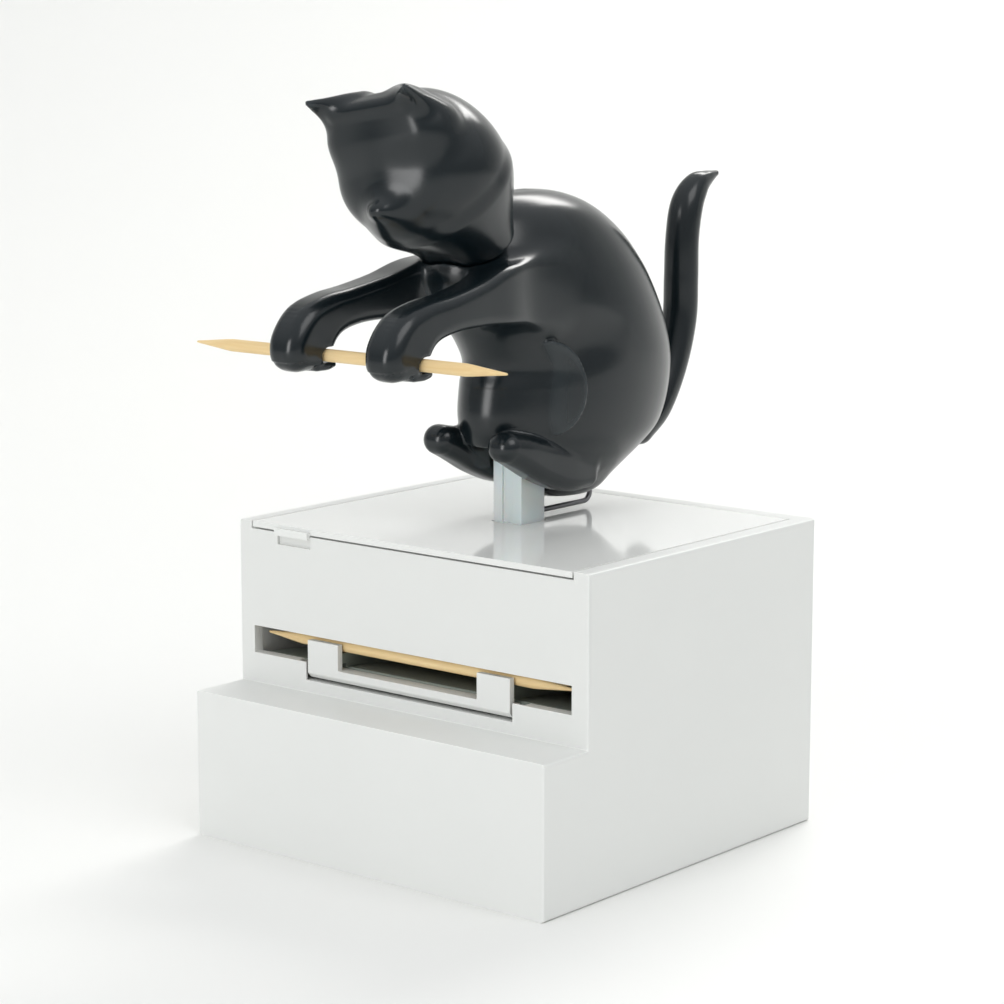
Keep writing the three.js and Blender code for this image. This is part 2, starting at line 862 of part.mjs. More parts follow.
// A coil around a line along X, with a tang at each end
function coilPoints(x0, y, z, { radius, pitch, turns, tang }) {
  const points = [];
  const steps = turns * springStepsPerTurn;
  for (let step = 0; step <= steps; step += 1) {
    const turn = step / springStepsPerTurn;
    const angle = turn * Math.PI * 2;
    points.push(new THREE.Vector3(
      x0 + turn * pitch,
      y + Math.cos(angle) * radius,
      z + Math.sin(angle) * radius,
    ));
  }
  const down = new THREE.Vector3(0, 0, -tang);
  const head = points[0].clone().add(down);
  const foot = points[points.length - 1].clone().sub(down);
  return [head, ...points, foot];
}

function gateSpring() {
  const x0 = gateRoomHalf + runningGap + gateSpringWire / 2;
  const points = coilPoints(x0, gatePinY, gatePinZ, {
    radius: gateSpringRadius,
    pitch: gateSpringPitch,
    turns: gateSpringTurns,
    tang: gateSpringTang,
  });
  return wireThrough(points, gateSpringWire, springSides);
}

function lidPanel() {
  const sideX = sideInnerX - lidSideGap;
  const frontY = frontFaceY;
  const backY = backInnerY - lidSideGap;
  const bottomZ = lidTopZ - lidThickness;
  const plate = block(-sideX, sideX, frontY, backY, bottomZ, lidTopZ);
  const skirtFrontY = frontInnerY + lidSideGap;
  const skirtBackY = backInnerY - lidShelfDepth - lidSideGap;
  const skirtX = sideInnerX - lidSideGap;
  const skirtTopZ = bottomZ + lidThickness / 2;
  const skirt = cut(
    block(-skirtX, skirtX, skirtFrontY, skirtBackY, bottomZ - lidSkirtDepth, skirtTopZ),
    block(
      -skirtX + lidSkirtThickness,
      skirtX - lidSkirtThickness,
      skirtFrontY + lidSkirtThickness,
      skirtBackY - lidSkirtThickness,
      bottomZ - lidSkirtDepth - cutOverrun,
      skirtTopZ + cutOverrun,
    ),
  );
  const tabHalf = tabWidth / 2;
  const tab = extrudedX(
    [
      [frontY - tabProjection, bottomZ - tabDrop],
      [frontY + wall / 2, bottomZ - lidSeamGap / 2],
      [frontY + wall / 2, lidTopZ - lidThickness / 2],
      [frontY - tabProjection, bottomZ + lidThickness / 2],
    ],
    tabCentreX - tabHalf,
    tabCentreX + tabHalf,
  ).intersect(block(
    tabCentreX - tabHalf,
    tabCentreX + tabHalf,
    frontY - tabProjection,
    frontInnerY,
    bottomZ - tabDrop,
    lidTopZ,
  ));
  const tabRoom = block(
    tabCentreX - tabHalf,
    tabCentreX + tabHalf,
    frontY,
    frontInnerY + lidSideGap,
    bottomZ - tabDrop,
    bottomZ,
  );
  const padX = flangeWidth / 2;
  const pad = block(
    -padX,
    padX,
    postFrontY - postPadMargin,
    postFrontY + postDepth + postPadMargin,
    bottomZ - postPadDepth,
    skirtTopZ,
  );
  const hole = block(
    -postWidth / 2 - runningGap,
    postWidth / 2 + runningGap,
    postFrontY - runningGap,
    postFrontY + postDepth + runningGap,
    bottomZ - postPadDepth - cutOverrun,
    lidTopZ + cutOverrun,
  );
  let lid = cut(joined(plate, skirt, cut(tab, tabRoom), pad), hole);
  for (const side of [-1, 1]) {
    lid = lid.subtract(rodZ(
      side * flangeScrewSpread / 2,
      pivotY,
      bottomZ - postPadDepth - cutOverrun,
      bottomZ - postPadDepth + flangeScrewLength - screwHeadHeight - flangeThickness + 2 * runningGap,
      screwShank / 2 + runningGap,
      smallSides,
    ));
  }
  return lid;
}

const flangeTopZ = lidTopZ - lidThickness - postPadDepth - runningGap;
const flangeBottomZ = flangeTopZ - flangeThickness;

function fulcrumPost() {
  const halfWidth = postWidth / 2;
  const backY = postFrontY + postDepth;
  const column = block(-halfWidth, halfWidth, postFrontY, backY, flangeBottomZ, pivotZ);
  const eye = rodX(-halfWidth, halfWidth, pivotY, pivotZ, postDepth / 2, roundSides);
  const flange = block(
    -flangeWidth / 2,
    flangeWidth / 2,
    pivotY - flangeDepth / 2,
    pivotY + flangeDepth / 2,
    flangeBottomZ,
    flangeTopZ,
  );
  const groove = block(
    -postGrooveWidth / 2,
    postGrooveWidth / 2,
    postFrontY - cutOverrun,
    postFrontY + postGrooveDepth,
    lidTopZ,
    pivotZ + postDepth,
  );
  const forkRoom = block(
    -postForkWidth / 2,
    postForkWidth / 2,
    postFrontY - cutOverrun,
    backY + cutOverrun,
    pivotZ - postDepth / 2,
    pivotZ + postDepth,
  );
  const pinHole = rodX(
    -postWidth,
    postWidth,
    pivotY,
    pivotZ,
    pinDiameter / 2 + pinClearance,
    smallSides,
  );
  const wireHole = rod(
    new THREE.Vector3(0, backY - wireSocketDepth - runningGap, wireLegZ()),
    new THREE.Vector3(0, backY + cutOverrun, wireLegZ()),
    wireDiameter / 2 + wireClearance,
    smallSides,
  );
  const screwHoles = [-1, 1].map((side) => rodZ(
    side * flangeScrewSpread / 2,
    pivotY,
    flangeBottomZ - cutOverrun,
    flangeTopZ + cutOverrun,
    screwShank / 2 + runningGap,
    smallSides,
  ));
  return cut(joined(column, eye, flange), groove, forkRoom, pinHole, wireHole, ...screwHoles);
}

function wireLegZ() {
  return lidTopZ + wireDiameter / 2 + wireFloat;
}

function stopWire() {
  const startY = postFrontY + postDepth - wireSocketDepth;
  const legZ = wireLegZ();
  const points = [new THREE.Vector3(0, startY, legZ)];
  for (let step = 0; step <= bendSteps; step += 1) {
    const angle = (step / bendSteps) * Math.PI / 2;
    points.push(new THREE.Vector3(
      0,
      wireTipY - wireBend + Math.sin(angle) * wireBend,
      legZ + wireBend - Math.cos(angle) * wireBend,
    ));
  }
  points.push(new THREE.Vector3(0, wireTipY, wireTopZ));
  return wireThrough(points, wireDiameter, wireSides);
}

function pivotPin() {
  return rodX(-pinLength / 2, pinLength / 2, pivotY, pivotZ, pinDiameter / 2, smallSides);
}

function returnSpring() {
  const points = coilPoints((springWire - postForkWidth) / 2 + runningGap, pivotY, pivotZ, {
    radius: pinDiameter / 2 + pinClearance + springWire / 2,
    pitch: (postForkWidth - 2 * runningGap - springWire) / springTurns,
    turns: springTurns,
    tang: springTang,
  });
  return wireThrough(points, springWire, springSides);
}

const trayFrontY = frontInnerY + trayFrontGap;
const trayBackY = backInnerY - traySideGap;
const trayFloorZ = trayPlateZ + runningGap;
const railFrontZ = readyPickZ - pickRadius - runningGap;
const railSlope = railRise / (trayBackY - trayFrontY);
const railTopAt = (y) => railFrontZ + (y - trayFrontY) * railSlope;

function magazineTray() {
  const halfX = sideInnerX - traySideGap;
  const noseY = trayFrontY - railNose;
  const noseZ = slotSillZ + runningGap;
  const plate = block(-halfX, halfX, trayFrontY, trayBackY, trayFloorZ, trayFloorZ + trayPlate);
  const rail = (x) => extrudedX(
    [
      [trayFrontY, trayFloorZ],
      [trayBackY, trayFloorZ],
      [trayBackY, railFrontZ + railRise],
      [trayFrontY, railFrontZ],
      [noseY, railFrontZ],
      [noseY, noseZ],
      [trayFrontY, noseZ],
    ],
    x - railWidth / 2,
    x + railWidth / 2,
  );
  const backWall = block(
    -halfX,
    halfX,
    trayBackY - trayPlate,
    trayBackY,
    trayFloorZ,
    lidTopZ - lidThickness - lidSkirtDepth - trayBackRoom,
  );
  return joined(plate, rail(-railCentreX), rail(railCentreX), backWall);
}

// Colours and finishes

const palePlastic = { color: 0xe2e4de, roughness: 0.42, metalness: 0 };
const postPlastic = { color: 0xd9dcd8, roughness: 0.25, metalness: 0 };
const darkPlastic = { color: 0x3a3d3c, roughness: 0.6, metalness: 0 };
const blackPlastic = { color: 0x14181a, roughness: 0.38, metalness: 0 };
const steel = { color: 0x9a9c9d, roughness: 0.3, metalness: 1 };
const wood = { color: 0xd9b878, roughness: 0.7, metalness: 0 };

const dispenser = new THREE.Group();
dispenser.name = 'toothpick_dispenser';

function add(name, manifold, finish) {
  const mesh = new THREE.Mesh(geometryOf(manifold), new THREE.MeshStandardMaterial(finish));
  mesh.name = name;
  dispenser.add(mesh);
}

add('base_housing', baseHousing(), palePlastic);
add('bottom_cover', bottomCover(), palePlastic);
for (const [place, x, y] of bossPlaces) {
  add(`cover_screw_${place}`, screw(x, y, runningGap, screwLength), steel);
}
add('magazine_tray', magazineTray(), darkPlastic);
add('feed_gate', feedGate(), palePlastic);
add('gate_pin', gatePin(), steel);
add('gate_spring', gateSpring(), steel);
add('lid_panel', lidPanel(), palePlastic);
add('fulcrum_post', fulcrumPost(), postPlastic);
for (const side of [-1, 1]) {
  add(
    side > 0 ? 'post_screw_right' : 'post_screw_left',
    screw(side * flangeScrewSpread / 2, pivotY, flangeBottomZ - screwHeadHeight - runningGap, flangeScrewLength),
    steel,
  );
}
add('stop_wire', stopWire(), steel);
add('pivot_pin', pivotPin(), steel);
add('return_spring', returnSpring(), steel);
add('kitten_body_left', kittenBody(-1), blackPlastic);
add('kitten_body_right', kittenBody(1), blackPlastic);
add('kitten_head', headForm(), blackPlastic);
add('kitten_foreleg_left', foreleg(-1), blackPlastic);
add('kitten_foreleg_right', foreleg(1), blackPlastic);
add('kitten_hind_leg_left', hindLeg(-1), blackPlastic);
add('kitten_hind_leg_right', hindLeg(1), blackPlastic);
add('kitten_tail', tailForm(), blackPlastic);
add('held_toothpick', toothpick(heldPickShift, heldPickPlace.y, heldPickPlace.z), wood);
add('ready_toothpick', toothpick(0, readyPickY, readyPickZ), wood);
for (let index = 0; index < sparePerLayer; index += 1) {
  const y = readyPickY + (index + 1) * toothpickSpacing;
  const z = railTopAt(y) + (pickRadius + runningGap) / Math.cos(Math.atan(railSlope));
  const number = String(index + 1).padStart(2, '0');
  add(`spare_toothpick_${number}`, toothpick(0, y, z), wood);
}

export default dispenser;
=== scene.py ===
import json
import math

import bmesh
import bpy
import numpy as np
from bpy.props import FloatProperty, FloatVectorProperty, IntProperty, PointerProperty
from bpy.types import Operator, Panel, PropertyGroup
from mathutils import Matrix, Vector


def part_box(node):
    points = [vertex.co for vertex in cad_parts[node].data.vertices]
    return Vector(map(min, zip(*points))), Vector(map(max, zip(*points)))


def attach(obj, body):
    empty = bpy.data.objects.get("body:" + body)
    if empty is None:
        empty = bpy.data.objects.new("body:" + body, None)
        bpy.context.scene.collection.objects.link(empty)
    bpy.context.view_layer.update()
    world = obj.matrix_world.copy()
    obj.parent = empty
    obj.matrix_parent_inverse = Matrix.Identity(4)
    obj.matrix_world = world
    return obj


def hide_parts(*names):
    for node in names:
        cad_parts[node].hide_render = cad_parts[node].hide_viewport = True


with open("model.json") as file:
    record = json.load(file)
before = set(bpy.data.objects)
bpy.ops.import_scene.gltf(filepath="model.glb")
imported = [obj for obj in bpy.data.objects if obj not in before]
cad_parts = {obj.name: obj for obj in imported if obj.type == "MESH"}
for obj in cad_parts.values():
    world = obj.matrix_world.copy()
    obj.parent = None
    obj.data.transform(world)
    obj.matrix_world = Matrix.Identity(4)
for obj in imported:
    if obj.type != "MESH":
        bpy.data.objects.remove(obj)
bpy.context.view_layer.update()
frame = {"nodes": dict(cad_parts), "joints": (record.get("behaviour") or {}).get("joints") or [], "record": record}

bl_info = {
    "name": "Kitten Toothpick Dispenser",
    "version": (1, 0, 0),
    "blender": (4, 5, 0),
    "location": "3D View > Sidebar > Dispenser",
    "description": "Builds the finished surfaces of a toothpick dispenser with a bowing kitten",
    "category": "Add Mesh",
}

MM = 0.001
# Least divisor, where a field or a slope vanishes
TINY = 1e-6

joint_named = {joint["name"]: joint for joint in frame["joints"]}
PIVOT = np.array(joint_named["kitten_bow"]["pos_m"])

# Kitten tables, in shares of the kitten's height measured from the pivot: x, y, z

# Level slices of the trunk: height, centre, half depth, half width
TRUNK_SHARES = [
    (-0.163, 0.167, 0.060, 0.040),
    (-0.158, 0.166, 0.082, 0.058),
    (-0.143, 0.160, 0.114, 0.083),
    (-0.114, 0.150, 0.158, 0.108),
    (-0.083, 0.150, 0.208, 0.130),
    (-0.050, 0.155, 0.260, 0.149),
    (-0.007, 0.163, 0.312, 0.166),
    (0.050, 0.170, 0.336, 0.175),
    (0.121, 0.181, 0.339, 0.179),
    (0.179, 0.184, 0.330, 0.180),
    (0.250, 0.150, 0.342, 0.179),
    (0.307, 0.114, 0.350, 0.176),
    (0.364, 0.082, 0.347, 0.169),
    (0.407, 0.062, 0.332, 0.160),
    (0.450, 0.048, 0.304, 0.147),
    (0.500, 0.035, 0.250, 0.125),
    (0.536, 0.025, 0.193, 0.098),
    (0.562, 0.018, 0.118, 0.060),
    (0.574, 0.015, 0.000, 0.000),
]
# Limbs: x, y, z, half width, half depth
FORELEG_SHARES = [
    (0.058, 0.080, 0.335, 0.034, 0.055),
    (0.083, -0.016, 0.348, 0.048, 0.073),
    (0.102, -0.130, 0.354, 0.054, 0.074),
    (0.124, -0.230, 0.354, 0.053, 0.066),
    (0.136, -0.330, 0.343, 0.049, 0.050),
    (0.143, -0.430, 0.331, 0.047, 0.043),
    (0.143, -0.506, 0.316, 0.047, 0.049),
    (0.143, -0.560, 0.287, 0.049, 0.064),
    (0.143, -0.584, 0.247, 0.050, 0.074),
    (0.143, -0.584, 0.224, 0.047, 0.068),
]
CLAW_SHARES = [
    (0.143, -0.575, 0.204, 0.042, 0.0085),
    (0.143, -0.540, 0.204, 0.042, 0.0085),
    (0.143, -0.517, 0.206, 0.036, 0.0075),
]
FOOT_SHARES = [
    (0.098, -0.168, -0.004, 0.042, 0.036),
    (0.096, -0.115, -0.022, 0.046, 0.043),
    (0.096, -0.045, -0.050, 0.046, 0.050),
    (0.096, 0.040, -0.075, 0.046, 0.055),
    (0.096, 0.115, -0.080, 0.042, 0.052),
]
NECK_SHARES = [
    (0.0, -0.285, 0.580, 0.157, 0.150),
    (0.0, -0.234, 0.520, 0.144, 0.115),
    (0.0, -0.192, 0.465, 0.126, 0.078),
]
# Tip, inner root and outer root of an ear, and bars across the head: x, y, z, radius
EAR_SHARES = [
    (0.134, -0.546, 0.806, 0.006),
    (0.055, -0.450, 0.788, 0.030),
    (0.118, -0.410, 0.732, 0.030),
]
BROW_SHARES = [(-0.095, -0.500, 0.776, 0.018), (0.095, -0.500, 0.776, 0.018)]
BRIDGE_SHARES = [(-0.090, -0.474, 0.773, 0.032), (0.090, -0.474, 0.773, 0.032)]
FOREHEAD_SHARES = [(-0.100, -0.440, 0.722, 0.060), (0.100, -0.440, 0.722, 0.060)]
TAIL_SHARES = [
    (0.0, 0.470, -0.045, 0.036, 0.036),
    (0.0, 0.540, 0.010, 0.040, 0.040),
    (0.0, 0.600, 0.110, 0.042, 0.042),
    (0.0, 0.635, 0.220, 0.043, 0.043),
    (0.0, 0.640, 0.320, 0.043, 0.043),
    (0.0, 0.643, 0.420, 0.042, 0.042),
    (0.0, 0.660, 0.500, 0.040, 0.042),
    (0.0, 0.697, 0.546, 0.032, 0.035),
    (0.0, 0.740, 0.565, 0.021, 0.020),
    (0.0, 0.778, 0.575, 0.010, 0.008),
]
# Rounded lumps: centre, half sizes
SKULL_SHARES = ((0.0, -0.335, 0.626), (0.186, 0.202, 0.156))
CROWN_SHARES = ((0.0, -0.340, 0.670), (0.144, 0.154, 0.144))
MUZZLE_SHARES = ((0.0, -0.460, 0.550), (0.050, 0.062, 0.036))
CHIN_SHARES = ((0.0, -0.405, 0.514), (0.078, 0.068, 0.042))
NOSE_SHARES = ((0.0, -0.524, 0.552), (0.016, 0.010, 0.009))
VALLEY_SHARES = ((0.235, -0.060, 0.225), (0.070, 0.200, 0.050))
# The two planes of the face: place of their fold, how far they lean back, radius of the fold
FACE_Y_SHARE = -0.505
FACE_SLOPE_SHARE = 0.26
FACE_FOLD_SHARE = 0.03
HEAD_ROLL = math.radians(9)
HEAD_YAW = math.radians(5)
# Raised round area of a thigh: centre y and z, radius; rise, edge, and where and how softly it ends inwards
THIGH_SHARES = (-0.084, 0.118, 0.126)
THIGH_RISE_SHARE = 0.013
THIGH_EDGE_SHARE = 0.008
THIGH_INNER_SHARE = 0.100
THIGH_FADE_SHARE = 0.08
# The toothpick in the paws: y, z, and length of the notch behind it
HELD_PICK_SHARES = (-0.549, 0.230)
NOTCH_SHARE = 0.2
# Corners of a limb that is round all the way, and the most of its thickness that a corner takes
ROUND_SHARES = (1.0, 1.0)
FULLEST_SHARE = 0.98
# Fillets where each form meets the ones before it
HEAD_BLEND_SHARES = {
    "crown": 0.05, "face": 0.025, "muzzle": 0.04, "chin": 0.04, "neck": 0.06,
    "forehead": 0.05, "bridge": 0.04, "brow": 0.012, "ears": 0.025, "nose": 0.03,
}
BODY_BLEND_SHARES = {
    "valley": 0.06, "thigh": 0.005, "foot": 0.012, "post": 0.006, "foreleg": 0.055,
    "notch": 0.004, "claw": 0.006, "claw_notch": 0.003, "collar": 0.006, "tail": 0.003,
}
# Boxes that hold the fields: low corner, high corner
BODY_BOX_SHARES = ((-0.23, -0.70, -0.20), (0.23, 0.57, 0.61))
HEAD_BOX_SHARES = ((-0.25, -0.62, 0.38), (0.25, -0.02, 0.87))
TAIL_BOX_SHARES = ((-0.08, 0.38, -0.12), (0.08, 0.84, 0.62))
COLLAR_BOX_SHARES = ((-0.25, -0.62, 0.36), (0.25, 0.02, 0.86))
# Wear and painted highlight on the kitten's outward bends, which a lighter tone marks: depth that a bend is
# measured at, the bend where the mark starts, and the range to its full strength
WEAR_AND_SHEEN_DEPTH_SHARE = 0.012
WEAR_AND_SHEEN_START = 0.2
WEAR_AND_SHEEN_RANGE = 0.5
# One point of a toothpick: way along the taper, radius
POINT_SHARES = [(0.0, 0.0), (0.0, 0.12), (0.03, 0.2), (0.3, 0.42), (0.6, 0.68), (0.85, 0.9), (1.0, 1.0)]

# Rooms and gaps, in metres
POST_HALF_WIDTH = 3.4 * MM
POST_SWEEP = 4.6 * MM
POST_BACK = 3.5 * MM
PICK_RADIUS = 1.0 * MM
PICK_GAP = 0.3 * MM
HALF_SEAM = 0.15 * MM

# Edges that turn more than the sharp angle are rounded; faces that turn less than the smooth angle are
# shaded as one, and those that turn less than the flat angle are one
SHARP_ANGLE = math.radians(50)
SMOOTH_ANGLE = math.radians(35)
FLAT_ANGLE = math.radians(2)
WELD = 0.001 * MM

# Dust that settles on every finish, and the finishes by name
DUST_COLOUR = (0.62, 0.61, 0.58)
DUST_ROUGHNESS = 0.3
finishes = {}


# Shapes as signed fields: below zero inside, measured in shares of the kitten's height

def share_of_height(length):
    """A length in metres as a share of the kitten's height."""
    return length / bpy.context.scene.kitten_sizes.height


def smooth_join(first, second, blend):
    """Joins two fields with a fillet of about that radius."""
    mix = np.clip(0.5 + 0.5 * (second - first) / blend, 0, 1)
    return second + (first - second) * mix - blend * mix * (1 - mix)


def smooth_cut(body, tool, blend):
    """Cuts a tool out of a body, with its edge rounded."""
    return -smooth_join(-body, tool, blend)


def smooth_common(first, second, blend):
    """Keeps what two fields share, with its edge rounded."""
    return -smooth_join(-first, -second, blend)


def curve_through(rows, steps):
    """Points on a smooth curve through the rows of a table."""
    table = np.array(rows, dtype=float)
    padded = np.vstack([2 * table[0] - table[1], table, 2 * table[-1] - table[-2]])
    points = []
    for span in range(len(table) - 1):
        before, start, end, after = padded[span:span + 4]
        for step in range(steps):
            t = step / steps
            points.append(0.5 * (
                2 * start
                + (end - before) * t
                + (2 * before - 5 * start + 4 * end - after) * t ** 2
                + (3 * start - before - 3 * end + after) * t ** 3
            ))
    points.append(table[-1])
    return np.array(points)


def ellipse_field(offsets, half):
    """Distance to an ellipse or an ellipsoid round the origin, close near its edge."""
    first = np.linalg.norm(offsets / half, axis=1)
    second = np.linalg.norm(offsets / half ** 2, axis=1)
    return first * (first - 1) / np.maximum(second, TINY)


def lump_field(points, shares):
    """A rounded lump, from its centre and its half sizes."""
    centre, half = np.array(shares)
    return ellipse_field(points - centre, half)


def trunk_field(points):
    """The trunk, from its level slices; their squares are smoothed, so that its ends close round."""
    table = np.array(TRUNK_SHARES, dtype=float)
    table[:, 2:] **= 2
    fine = curve_through(table, steps=24)
    height = np.clip(points[:, 2], fine[0, 0], fine[-1, 0])
    centre, deep, wide = (np.interp(height, fine[:, 0], fine[:, column]) for column in (1, 2, 3))
    half = np.sqrt(np.maximum(np.stack([wide, deep], axis=1), TINY))
    level = ellipse_field(np.stack([points[:, 0], points[:, 1] - centre], axis=1), half)
    over = points[:, 2] - height
    return np.where(over == 0, level, np.hypot(np.maximum(level, 0), over))


def limb_field(points, rows, corners, domes, reach=0.14):
    """A limb along a smooth path: flat sides with round edges, from one radius to another, and domed ends."""
    path = curve_through(rows, steps=16)
    result = np.full(len(points), reach)
    low = path[:, :3].min(axis=0) - reach
    high = path[:, :3].max(axis=0) + reach
    near = np.where(np.all((points > low) & (points < high), axis=1))[0]
    if len(near) == 0:
        return result
    here = points[near]
    starts = path[:-1, 1:3]
    spans = path[1:, 1:3] - starts
    lengths = np.linalg.norm(spans, axis=1)
    best = np.full(len(here), np.inf)
    place, side, over = np.zeros((3, len(here)))
    for index, (start, span, length) in enumerate(zip(starts, spans, lengths)):
        offset = here[:, 1:3] - start
        along = offset @ span / length ** 2
        held = np.clip(along, 0, 1)
        apart = np.linalg.norm(offset - held[:, None] * span, axis=1)
        better = apart < best
        best = np.where(better, apart, best)
        place = np.where(better, index + held, place)
        across = np.abs(offset[:, 0] * span[1] - offset[:, 1] * span[0]) / length
        past = (along - held) * length
        if index > 0:
            past = np.maximum(past, 0)
        if index < len(spans) - 1:
            past = np.minimum(past, 0)
        side = np.where(better, np.where(past == 0, apart, across), side)
        over = np.where(better, past, over)
    rank = np.arange(len(path))
    centre_x, wide, deep = (np.interp(place, rank, path[:, column]) for column in (0, 3, 4))
    dome = np.where(over < 0, domes[0], domes[1])
    corner = np.interp(place, (0, len(path) - 1), corners)
    core = np.minimum(wide, deep)
    edge = np.minimum(corner, core * FULLEST_SHARE)
    du = np.abs(here[:, 0] - centre_x) - (wide - edge)
    dv = side - (deep - edge)
    field = np.hypot(np.maximum(du, 0), np.maximum(dv, 0)) + np.minimum(np.maximum(du, dv), 0) - edge
    capped = np.hypot(np.maximum(field + core, 0), over / dome) - core
    result[near] = np.minimum(np.where(over == 0, field, capped), reach)
    return result


def tapered_field(points, rows):
    """A row of tapered round bars from end to end."""
    table = np.array(rows, dtype=float)
    result = np.full(len(points), np.inf)
    for start, end in zip(table[:-1], table[1:]):
        span = end[:3] - start[:3]
        offset = points - start[:3]
        along = np.clip(offset @ span / (span @ span), 0, 1)
        apart = np.linalg.norm(offset - along[:, None] * span, axis=1)
        result = np.minimum(result, apart - start[3] - along * (end[3] - start[3]))
    return result


def plate_field(points, rows):
    """A thin three-cornered plate whose thickness changes from corner to corner."""
    table = np.array(rows, dtype=float)
    corners, radii = table[:, :3], table[:, 3]
    normal = np.cross(corners[1] - corners[0], corners[2] - corners[0])
    area = normal @ normal
    inside = np.ones(len(points), dtype=bool)
    radius = np.zeros(len(points))
    for index in range(3):
        start, end = corners[index], corners[(index + 1) % 3]
        weight = np.cross(end - start, points - start) @ normal / area
        inside &= weight >= 0
        radius += weight * radii[(index + 2) % 3]
    flat = np.abs((points - corners[0]) @ normal) / math.sqrt(area) - radius
    return np.where(inside, flat, tapered_field(points, [*rows, rows[0]]))


def turned(first, second, angle):
    """Two coordinates, turned by an angle."""
    cos, sin = math.cos(angle), math.sin(angle)
    return first * cos + second * sin, second * cos - first * sin


def rolled(points):
    """The points in the head's own frame, which is turned and tilted a little."""
    centre = np.array(SKULL_SHARES[0])
    x, y, z = (points - centre).T
    x, y = turned(x, y, HEAD_YAW)
    x, z = turned(x, z, HEAD_ROLL)
    return np.stack([x, y, z], axis=1) + centre


def mirrored(points):
    """The points folded onto the side where x is positive."""
    return np.stack([np.abs(points[:, 0]), points[:, 1], points[:, 2]], axis=1)


def head_field(points):
    """Skull, cheeks, muzzle, brow, ears and neck."""
    own = rolled(points)
    blends = HEAD_BLEND_SHARES
    field = lump_field(own, SKULL_SHARES)
    field = smooth_join(field, lump_field(own, CROWN_SHARES), blends["crown"])
    beside = np.sqrt(own[:, 0] ** 2 + FACE_FOLD_SHARE ** 2) - FACE_FOLD_SHARE
    face = FACE_Y_SHARE + FACE_SLOPE_SHARE * beside - own[:, 1]
    field = smooth_common(field, face, blends["face"])
    forms = {
        "muzzle": lump_field(own, MUZZLE_SHARES),
        "chin": lump_field(own, CHIN_SHARES),
        "neck": limb_field(points, NECK_SHARES, ROUND_SHARES, domes=(0.4, 0.25), reach=0.25),
        "forehead": tapered_field(own, FOREHEAD_SHARES),
        "bridge": tapered_field(own, BRIDGE_SHARES),
        "brow": tapered_field(own, BROW_SHARES),
        "ears": plate_field(mirrored(own), EAR_SHARES),
        "nose": lump_field(own, NOSE_SHARES),
    }
    for name, form in forms.items():
        field = smooth_join(field, form, blends[name])
    return field


def post_room_field(points):
    """The slot under the body that the post stays in over the whole bow."""
    half_width, sweep, back = map(share_of_height, (POST_HALF_WIDTH, POST_SWEEP, POST_BACK))
    y, z = points[:, 1], points[:, 2]
    bow = math.radians(joint_named["kitten_bow"]["range_deg"][1])
    roof = z * math.sin(bow) - y * math.cos(bow) - back
    swept_room = np.maximum(y - back, roof)
    room = np.minimum(np.hypot(y, z) - sweep, swept_room)
    return np.maximum(room, np.abs(points[:, 0]) - half_width)


def thigh_field(folded, trunk):
    """A round area that stands a little proud of the trunk's side."""
    y, z, radius = THIGH_SHARES
    disc = np.hypot(folded[:, 1] - y, folded[:, 2] - z) - radius
    thigh = smooth_common(trunk - THIGH_RISE_SHARE, disc, THIGH_EDGE_SHARE)
    return smooth_common(thigh, THIGH_INNER_SHARE - folded[:, 0], THIGH_FADE_SHARE)


def held_pick_fields(points):
    """The round room of the toothpick in the paws, and the notch that leads into it."""
    radius = share_of_height(PICK_RADIUS + PICK_GAP)
    y, z = HELD_PICK_SHARES
    room = np.hypot(points[:, 1] - y, points[:, 2] - z) - radius
    notch = np.maximum(np.abs(points[:, 2] - z) - radius, y - points[:, 1])
    return room, np.maximum(notch, points[:, 1] - y - NOTCH_SHARE)


def body_field(points):
    """Trunk, thighs, feet and forelegs, with the rooms for the post, the toothpick and the head."""
    blends = BODY_BLEND_SHARES
    folded = mirrored(points)
    trunk = trunk_field(points)
    foot = limb_field(folded, FOOT_SHARES, corners=(0.036, 0.03), domes=(1.0, 0.8))
    leg = limb_field(folded, FORELEG_SHARES, corners=(0.010, 0.040), domes=(0.6, 0.6))
    claw = limb_field(folded, CLAW_SHARES, corners=(0.008, 0.008), domes=(0.6, 1.0), reach=0.05)
    pick_room, notch = held_pick_fields(points)
    leg = smooth_cut(leg, np.minimum(pick_room, notch), blends["notch"])
    claw = smooth_cut(claw, pick_room, blends["claw_notch"])
    field = smooth_cut(trunk, lump_field(folded, VALLEY_SHARES), blends["valley"])
    field = smooth_join(field, thigh_field(folded, trunk), blends["thigh"])
    field = smooth_join(field, foot, blends["foot"])
    field = smooth_cut(field, post_room_field(points), blends["post"])
    field = smooth_join(field, leg, blends["foreleg"])
    field = smooth_join(field, claw, blends["claw"])
    low, high = COLLAR_BOX_SHARES
    near = np.all((points > low) & (points < high), axis=1)
    far = 0.2
    head = np.full(len(points), far)
    head[near] = head_field(points[near])
    return smooth_cut(field, head - share_of_height(HALF_SEAM), blends["collar"])


def tail_field(points):
    """The tail, round all the way."""
    tail = limb_field(points, TAIL_SHARES, ROUND_SHARES, domes=(1.0, 1.6))
    return smooth_cut(tail, trunk_field(points) - share_of_height(HALF_SEAM), BODY_BLEND_SHARES["tail"])


# Skins over fields

